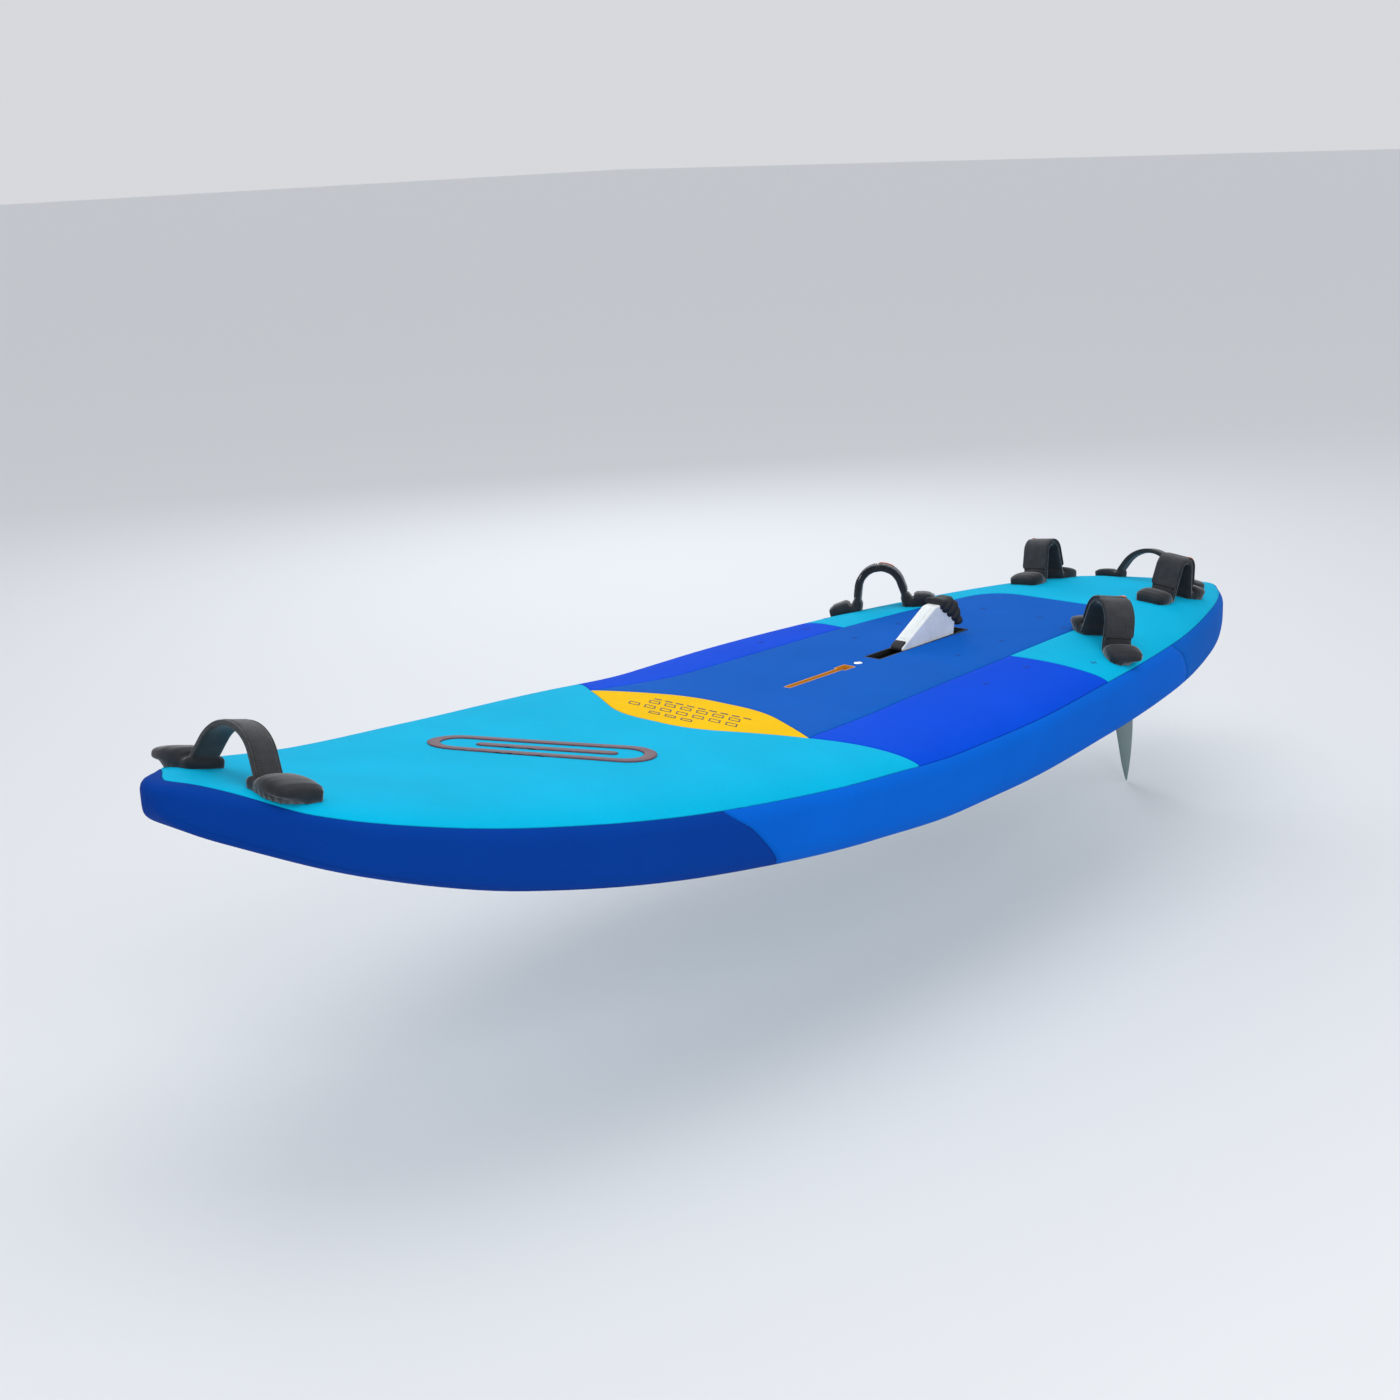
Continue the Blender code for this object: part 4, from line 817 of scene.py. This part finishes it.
def soft_ring(arch, t, half_width_here, half_thick, centre, power=2.6, sides=28, crease=0.0):
    """A rounded cross-section of a padded band, with creases pressed into it."""
    ring = []
    for k in range(sides):
        turn = 2 * math.pi * k / sides
        c, s = math.cos(turn), math.sin(turn)
        side = half_width_here * math.copysign(abs(c) ** (2 / power), c)
        offset = centre + half_thick * math.copysign(abs(s) ** (2 / power), s)
        spot = arch.spot(t, offset, side)
        if crease:
            wave = noise.noise(Vector((t * 110, side * 45, 7.0 + offset * 60 + arch.origin.x * 9)))
            pushed = offset + crease * wave * (1 if s > 0 else 0.6)
            spot = arch.spot(t, pushed, side * (1 + SIDE_CREASE * crease * wave))
        ring.append(spot)
    return ring


END_ROUND = [(0, 0.45), (0.25, 0.78), (0.6, 0.94)]     # places along a band's cap, and its size there


def band(name, arch, start, end, shape, finish, steps=40, power=2.6, crease=0.0, sides=28, cap=0.003):
    """A padded band from one length to another; shape(t) gives half width, half thickness, centre."""
    def round_end(at, way):
        half, thick, centre = shape(at)
        return [soft_ring(arch, at + way * cap * share, half - cap * (1 - shrink), thick * shrink, centre,
                          power, sides) for share, shrink in END_ROUND]

    rings = round_end(start, 1)
    rings += [soft_ring(arch, t, *shape(t), power, sides, crease)
              for t in spread(start + cap, end - cap, steps)]
    return tube(name, rings + round_end(end, -1)[::-1], finish)


def settle(piece, lift=0.0002):
    """Sets the underside of a soft foot down on the deck: nothing of it goes below the skin."""
    for v in piece.data.vertices:
        v.co.z += max(0.0, lift - above_deck(v.co))
    piece.data.update()


def press_down(piece, arch, far):
    """Lets the underside of a foot hang down to the deck, up to the given distance."""
    for v in piece.data.vertices:
        gap = above_deck(v.co)
        if v.normal.dot(arch.up) < -0.2 and 0 < gap < far:
            v.co.z -= gap - 0.0003
    piece.data.update()


def stitches(name, seams, finish, length=0.0030, pitch=0.0042, thick=0.00042):
    """Rows of thread stitches along seams, each a list of (place, outward direction)."""
    bm = bmesh.new()
    for seam in seams:
        runs = [0.0]
        for (a, _), (b, _) in zip(seam, seam[1:]):
            runs.append(runs[-1] + (b - a).length)
        for i in range(int(runs[-1] / pitch)):
            middle = (i + 0.5) * pitch
            j = max(0, min(len(seam) - 2, int(np.searchsorted(runs, middle)) - 1))
            share = (middle - runs[j]) / max(runs[j + 1] - runs[j], 1e-9)
            spot = seam[j][0].lerp(seam[j + 1][0], share)
            along = (seam[j + 1][0] - seam[j][0]).normalized()
            out = seam[j][1].lerp(seam[j + 1][1], share).normalized()
            side = along.cross(out).normalized()
            rings = []
            for reach in (-0.38, 0.38):
                rings.append([bm.verts.new(spot + along * length * reach + (out * math.cos(a) + side
                              * math.sin(a)) * thick) for a in (math.tau * q / 5 for q in range(5))])
            tips = [bm.verts.new(spot + along * length * reach - out * thick * 0.8) for reach in (-0.5, 0.5)]
            for q in range(5):
                r = (q + 1) % 5
                bm.faces.new((rings[0][q], rings[0][r], rings[1][r], rings[1][q]))
                bm.faces.new((rings[0][r], rings[0][q], tips[0]))
                bm.faces.new((rings[1][q], rings[1][r], tips[1]))
    return add_mesh(name, bm, finish)


def seam_place(arch, t, offset, side):
    """A place on an arch, and the outward direction there."""
    here = arch.spot(t, offset, side)
    return here, (arch.spot(t, offset + 0.01, side) - here).normalized()


def seam_along(arch, start, end, offset, side, steps=30):
    return [seam_place(arch, t, offset, side) for t in spread(start, end, steps)]


def seam_across(arch, t, offset, half, steps=6):
    return [seam_place(arch, t, offset, side) for side in spread(-half, half, steps)]


def make_feet(name, arch, half, length_out, reach, thick, slot, crease=0.0006):
    """The padded shoes over the two feet of a strap or handle, wider where they lie on the deck."""
    for word, mirrored in (("outer", False), ("inner", True)):
        top = arch.leg_start + reach

        def shape(t):
            t = arch.length - t if mirrored else t
            share = unit((t + length_out) / (top + length_out))
            lying = 1 - unit((t - arch.foot * 0.8) / (arch.leg_start - arch.foot * 0.8))
            width = half * (0.84 + 0.20 * math.sin(math.pi * min(1.0, share * 1.15 + 0.12)))
            depth = thick * (0.50 + 0.50 * math.sin(math.pi * min(0.82, share * 0.75 + 0.10)))
            return width, depth, lying * (depth * 0.75) - (1 - lying) * 0.0012

        ends = (-length_out, top) if not mirrored else (arch.length - top, arch.length + length_out)
        foot = band("%s_foot_%s" % (name, word), arch, *ends, shape, SLEEVE, 26, 2.9, crease, 30, 0.008)
        press_down(foot, arch, 0.008)
        settle(foot)
        dress(foot, "board", slot)
        edge = arch.leg_start + reach - 0.010
        edge = arch.length - edge if mirrored else edge
        offset = shape(edge)[1] + shape(edge)[2]
        seam = stitches("%s_foot_stitch_%s" % (name, word), [seam_across(arch, edge, offset, half * 0.75)],
                        THREAD)
        dress(seam, "board", slot)


def make_strap(label, side, outer, inner):
    """A padded foot strap: shoes, neoprene sleeve, fixed cover and the flap that peels open."""
    name = "strap_%s_%s" % (label, side)
    way = 1 if side == "port" else -1
    arch = Arch((way * outer[0], outer[1]), (way * inner[0], inner[1]), STRAP_WIDTH, STRAP_RISE, STRAP_BEND,
                STRAP_STEEP, FOOT_LENGTH)
    cuff = 0.012
    make_feet(name, arch, 0.0300, 0.008, cuff, 0.0120, "neoprene")

    def sleeve_shape(t):
        share = t / arch.length
        return 0.0250 + 0.0030 * abs(2 * share - 1) ** 2, 0.0054, -0.0028

    sleeve = band(name + "_padding", arch, arch.leg_start - 0.010, arch.length - arch.leg_start + 0.010,
                  sleeve_shape, SLEEVE, 60, 2.7, 0.0007)
    dress(sleeve, "board", "neoprene", name + "_sleeve")

    low = WEBBING + GAP + 0.0002
    half = STRAP_WIDTH * 0.48
    middle = low + COVER / 2

    def cover_shape(_):
        return half - 0.0004, COVER / 2 - 0.0001, middle

    edge = arch.leg_start + cuff + 0.0015
    parts = [("flap", edge, arch.crown - 0.0002, "%s_%s_flap" % (label, side)),
             ("cover", arch.crown + 0.0012, arch.length - edge, "board")]
    for part, start, end, body in parts:
        piece = band("%s_%s_cloth" % (name, part), arch, start, end, cover_shape, SHEENED_COVER_CLOTH, 36, 5.0, 0.00025, 32,
                     0.0015)
        dress(piece, body, "stitched_cover", "%s_%s" % (name, part))
        top = middle + COVER / 2 + 0.0001
        seams = [seam_along(arch, start + 0.004, end - 0.003, top, s * (half - 0.0045)) for s in (-1, 1)]
        if part == "flap":
            seams += [seam_along(arch, start + 0.006, start + 0.036, top, s * 0.013) for s in (-1, 1)]
            seams += [seam_across(arch, t, top, 0.013) for t in (start + 0.006, start + 0.036)]
        else:
            seams.append(seam_across(arch, start + 0.006, top, half - 0.006))
        dress(stitches("%s_%s_stitch" % (name, part), seams, THREAD), body, "stitched_cover")
        piping = [[arch.spot(t, middle, s * half) for t in spread(start + 0.002, end - 0.002, 24)]
                  for s in (-1, 1)]
        dress(cords_along("%s_%s_piping" % (name, part), piping, 0.0012, SLEEVE), body, "neoprene")
    tab_at = arch.crown + 0.003
    tab_side = -1 if way > 0 else 1

    def tab_shape(_):
        return 0.0030, 0.0006, middle + COVER / 2 + 0.0004

    tab = band(name + "_tab", ShiftedArch(arch, tab_side * (half - 0.0035)), tab_at, tab_at + 0.026,
               tab_shape, TAB, 10, 4.0, 0.0, 16, 0.001)
    dress(tab, "board", "stitched_cover")


class ShiftedArch:
    """An arch's line moved sideways along the strap's width."""

    def __init__(self, arch, shift):
        self.arch, self.shift = arch, shift
        self.origin = arch.origin

    def spot(self, t, offset, side):
        return self.arch.spot(t, offset, side + self.shift)


def cords_along(name, lines, radius, finish):
    """Sewn-in piping: round cords along the given lines, joined into one mesh."""
    bm = bmesh.new()
    for line in lines:
        rings = []
        for i, here in enumerate(line):
            along = (line[min(i + 1, len(line) - 1)] - line[max(i - 1, 0)]).normalized()
            side = along.orthogonal() if not rings else side - along * side.dot(along)
            side.normalize()
            up = along.cross(side)
            grow = 0.4 if i in (0, len(line) - 1) else 1.0
            rings.append([bm.verts.new(here + (side * math.cos(a) + up * math.sin(a)) * radius * grow)
                          for a in (math.tau * q / 8 for q in range(8))])
        bridge(bm, rings)
        close_ends(bm, rings)
    return add_mesh(name, bm, finish)


def make_handle(name, feet, width, rise, foot, steep, half, thick, shoe, shoe_out):
    arch = Arch(feet[0], feet[1], width, rise, 0.018, steep, foot)
    centre = thick * 0.55

    def shape(_):
        return half, thick, centre

    grip = band(name + "_band", arch, arch.foot * 0.6, arch.length - arch.foot * 0.6, shape, WEB, 70, 3.6,
                0.0006, 30)
    dress(grip, "board", "webbing", name)
    top = centre + thick + 0.0001
    start, end = arch.leg_start + 0.002, arch.length - arch.leg_start - 0.002
    seams = [seam_along(arch, start, end, top - 0.0004, s * half * 0.68, 50) for s in (-1, 1)]
    dress(stitches(name + "_stitch", seams, THREAD), "board", "webbing")
    hems = [[arch.spot(t, centre + thick * 0.55, s * half * 0.93) for t in spread(start, end, 50)]
            for s in (-1, 1)]
    dress(cords_along(name + "_hem", hems, 0.0017, WEB), "board", "webbing")
    make_feet(name, arch, shoe, shoe_out, 0.006, 0.0125 if shoe > 0.02 else 0.0080, "webbing", 0.0005)


def make_soft_goods():
    for label, outer, inner in STRAPS:
        for side in ("port", "starboard"):
            make_strap(label, side, outer, inner)
    make_handle("nose_handle", ((0.104, 0.122), (-0.104, 0.122)), 0.042, 0.064, 0.045, 58, 0.0205, 0.0050,
                0.0345, 0.014)
    make_handle("tail_handle", ((0.093, 2.295), (-0.093, 2.295)), 0.026, 0.057, 0.028, 58, 0.0125, 0.0045,
                0.0185, 0.010)


# ---------------------------------------------------------------- lever, grip and fin
PIVOT = (1.630, 0.108)


def side_plate(name, outline, half, finish, rounding):
    bm = bmesh.new()
    face = bm.faces.new([bm.verts.new((-half, s + Y_SHIFT, z)) for s, z in outline])
    grown_geometry = bmesh.ops.extrude_face_region(bm, geom=[face])["geom"]
    bmesh.ops.translate(bm, vec=(2 * half, 0, 0),
                        verts=[v for v in grown_geometry if isinstance(v, bmesh.types.BMVert)])
    piece = add_mesh(name, bm, finish, smooth=False)
    edge = piece.modifiers.new("Edge", "BEVEL")
    edge.width = rounding
    edge.segments = 4
    edge.limit_method = "ANGLE"
    edge.angle_limit = math.radians(35)
    piece.data.shade_smooth()
    piece.data.set_sharp_from_angle(angle=math.radians(50))
    return piece


def make_lever():
    boss = [(PIVOT[0] + 0.022 * math.cos(a), PIVOT[1] + 0.022 * math.sin(a))
            for a in (math.radians(110 - 10 * i) for i in range(20))]
    outline = [(1.458, 0.1505), (1.553, 0.2035), (1.594, 0.2070), (1.608, 0.1955), (1.612, 0.1700),
               (1.607, 0.1400)] + boss + [(1.610, 0.0920), (1.582, 0.1080), (1.530, 0.1340),
                                          (1.474, 0.1420), (1.458, 0.1450)]
    head = side_plate("lever_head", outline, 0.0138, WHITE, 0.0032)
    dress(head, "daggerboard", "lever_plastic", "dagger_head")
    spine = [(1.478, 0.1630), (1.553, 0.2050), (1.560, 0.2056), (1.560, 0.2000), (1.478, 0.1585)]
    dress(side_plate("lever_spine", spine, 0.0060, WHITE, 0.0012), "daggerboard", "lever_plastic")
    make_grip()
    bumper = [(1.4575, 0.1440), (1.4550, 0.1505), (1.4610, 0.1560), (1.4720, 0.1610), (1.4750, 0.1490),
              (1.4710, 0.1415)]
    dress(side_plate("lever_bumper", bumper, 0.0118, RUBBER, 0.0030), "daggerboard", "black_rubber")


def make_grip():
    """The ribbed rubber grip: rings across the lever, pinched between the ribs."""
    line = [(1.566, 0.1950), (1.568, 0.2150), (1.604, 0.2140), (1.622, 0.2010), (1.632, 0.1620),
            (1.617, 0.1590)]
    slant = math.radians(-50)
    along = Vector((math.cos(slant), math.sin(slant)))
    across = Vector((-math.sin(slant), math.cos(slant)))
    corners = [(Vector(p).dot(along), Vector(p).dot(across)) for p in line]
    first, last = min(a for a, _ in corners), max(a for a, _ in corners)
    ribs = 5
    rings = []
    for share in spread(0, 1, 60):
        a = first + (last - first) * (0.004 + 0.992 * share)
        cuts = []
        for (a0, b0), (a1, b1) in zip(corners, corners[1:] + corners[:1]):
            if (a0 - a) * (a1 - a) < 0:
                cuts.append(b0 + (b1 - b0) * (a - a0) / (a1 - a0))
        low, high = min(cuts), max(cuts)
        bulge = abs(math.sin(math.pi * ribs * share)) ** 0.55
        shrink = 0.82 + 0.18 * bulge
        ends = min(1.0, (min(share, 1 - share) / 0.06) ** 0.5) if 0 < share < 1 else 0.3
        tall = max(0.004, (high - low) / 2) * shrink * (0.6 + 0.4 * ends)
        wide = 0.0198 * shrink * (0.7 + 0.3 * ends)
        middle = (high + low) / 2
        ring = []
        for k in range(36):
            c, s = math.cos(math.tau * k / 36), math.sin(math.tau * k / 36)
            b = middle + tall * math.copysign(abs(s) ** 0.62, s)
            spot = along * a + across * b
            ring.append(Vector((wide * math.copysign(abs(c) ** 0.62, c), spot.x + Y_SHIFT, spot.y)))
        rings.append(ring)
    dress(tube("ribbed_grip", rings, RUBBER), "daggerboard", "black_rubber", "dagger_grip")


def make_fin():
    depth_max, root = 0.295, (2.118, 2.244)
    rake = monotone_curve([(0, 0), (0.158, 0.0566), (depth_max, 0.098)])
    trailing = monotone_curve([(0, 0), (0.175, 0.0003), (depth_max, -0.012)])
    rings = []
    levels = [0.032, 0.0] + [-depth_max * math.sin(math.pi / 2 * i / 34) for i in range(1, 35)]
    for level in levels:
        depth = max(0.0, -level)
        near_tip = max(0.0, (depth - 0.24) / (depth_max - 0.24))
        shrink = math.sqrt(max(0.004, 1 - near_tip ** 2))
        lead, trail = root[0] + rake(depth), root[1] + trailing(depth)
        middle, half_chord = (lead + trail) / 2, (trail - lead) / 2 * shrink
        thick = 0.0090 * (1 - 0.55 * depth / depth_max) * max(0.35, shrink)
        ring = []
        for step in range(40):
            turn = math.tau * step / 40
            along = -math.cos(turn)
            bulge = math.sqrt(max(0.0, 1 - along * along)) * (1.05 - 0.35 * (along + 1) / 2)
            ring.append(Vector((math.copysign(thick / 2 * bulge, math.sin(turn)),
                                middle + half_chord * along + Y_SHIFT, level)))
        rings.append(ring)
    dress(tube("fin_foil", rings, FIN), "board", "fin_plastic", "fin")


# ---------------------------------------------------------------- nodes that stay as they are
KEPT = {"mast_track_box": ORANGE, "vent_body": BLACK_PLASTIC, "vent_plug": STEEL,
        "dagger_case": BLACK_PLASTIC, "slot_gasket_port": RUBBER, "slot_gasket_starboard": RUBBER,
        "dagger_blade": BLADE,
        "dagger_pin": STEEL, "pivot_washer_port": STEEL, "pivot_washer_starboard": STEEL,
        "fin_box": BLACK_PLASTIC, "fin_bolt": STEEL, "deck_shell": LAMINATE, "foam_core": BOTTOM}


def finish_kept_nodes():
    for name, piece in NODES.items():
        finish = KEPT.get(name)
        if "webbing" in name:
            finish = WEB
        if "screw" in name:
            finish = STEEL
        if finish:
            for slot in piece.material_slots:
                slot.material = finish


# ---------------------------------------------------------------- stage, lights and camera
def make_stage():
    bm = bmesh.new()
    bmesh.ops.create_grid(bm, x_segments=4, y_segments=4, size=60)
    floor = add_mesh("floor", bm, FLOOR, smooth=False)
    floor.location = (0, 0, -0.297)
    world = bpy.data.worlds.new("Studio")
    bpy.context.scene.world = world
    world.use_nodes = True
    sky = world.node_tree.nodes["Background"].inputs
    sky["Color"].default_value = (0.94, 0.96, 1.0, 1)
    sky["Strength"].default_value = 0.72
    bpy.context.scene.view_settings.view_transform = "Standard"


def area_light(name, position, target, size, power, color=(1, 1, 1)):
    light = bpy.data.lights.new(name, "AREA")
    light.shape = "RECTANGLE"
    light.size, light.size_y = size
    light.energy = power
    light.color = color
    made = bpy.data.objects.new(name, light)
    bpy.context.scene.collection.objects.link(made)
    made.location = position
    made.rotation_mode = "QUATERNION"
    made.rotation_quaternion = (Vector(target) - Vector(position)).to_track_quat("-Z", "Y")


def make_lights():
    area_light("overhead", (0.3, -0.4, 3.4), (0, 0, 0), (3.6, 2.6), 38)
    area_light("key", (3.4, -2.6, 2.6), (0.1, -0.3, 0.1), (1.8, 1.4), 46, (1.0, 0.98, 0.95))
    area_light("back", (-3.0, 2.6, 1.9), (0, 0.3, 0.1), (2.2, 1.0), 30, (0.93, 0.96, 1.0))


CAMERA_PLACE = (2.0246, -2.4686, 1.0094)
CAMERA_RIGHT = Vector((0.7360, 0.6758, -0.0396))
CAMERA_UP = Vector((-0.1560, 0.2263, 0.9615))


def make_camera():
    data = bpy.data.cameras.new("camera")
    data.sensor_width = 36
    data.lens = 51.43
    camera = bpy.data.objects.new("camera", data)
    bpy.context.scene.collection.objects.link(camera)
    right = CAMERA_RIGHT.normalized()
    back = right.cross(CAMERA_UP).normalized()
    up = back.cross(right)
    turn = Matrix((right, up, back)).transposed().to_4x4()
    camera.matrix_world = Matrix.Translation(CAMERA_PLACE) @ turn
    bpy.context.scene.camera = camera


make_stage()
make_lights()
make_camera()
make_deck()
make_rails()
make_bottom()
make_emblem()
make_prints()
make_plug_marks()
make_soft_goods()
make_lever()
make_fin()
finish_kept_nodes()

bpy.context.view_layer.update()
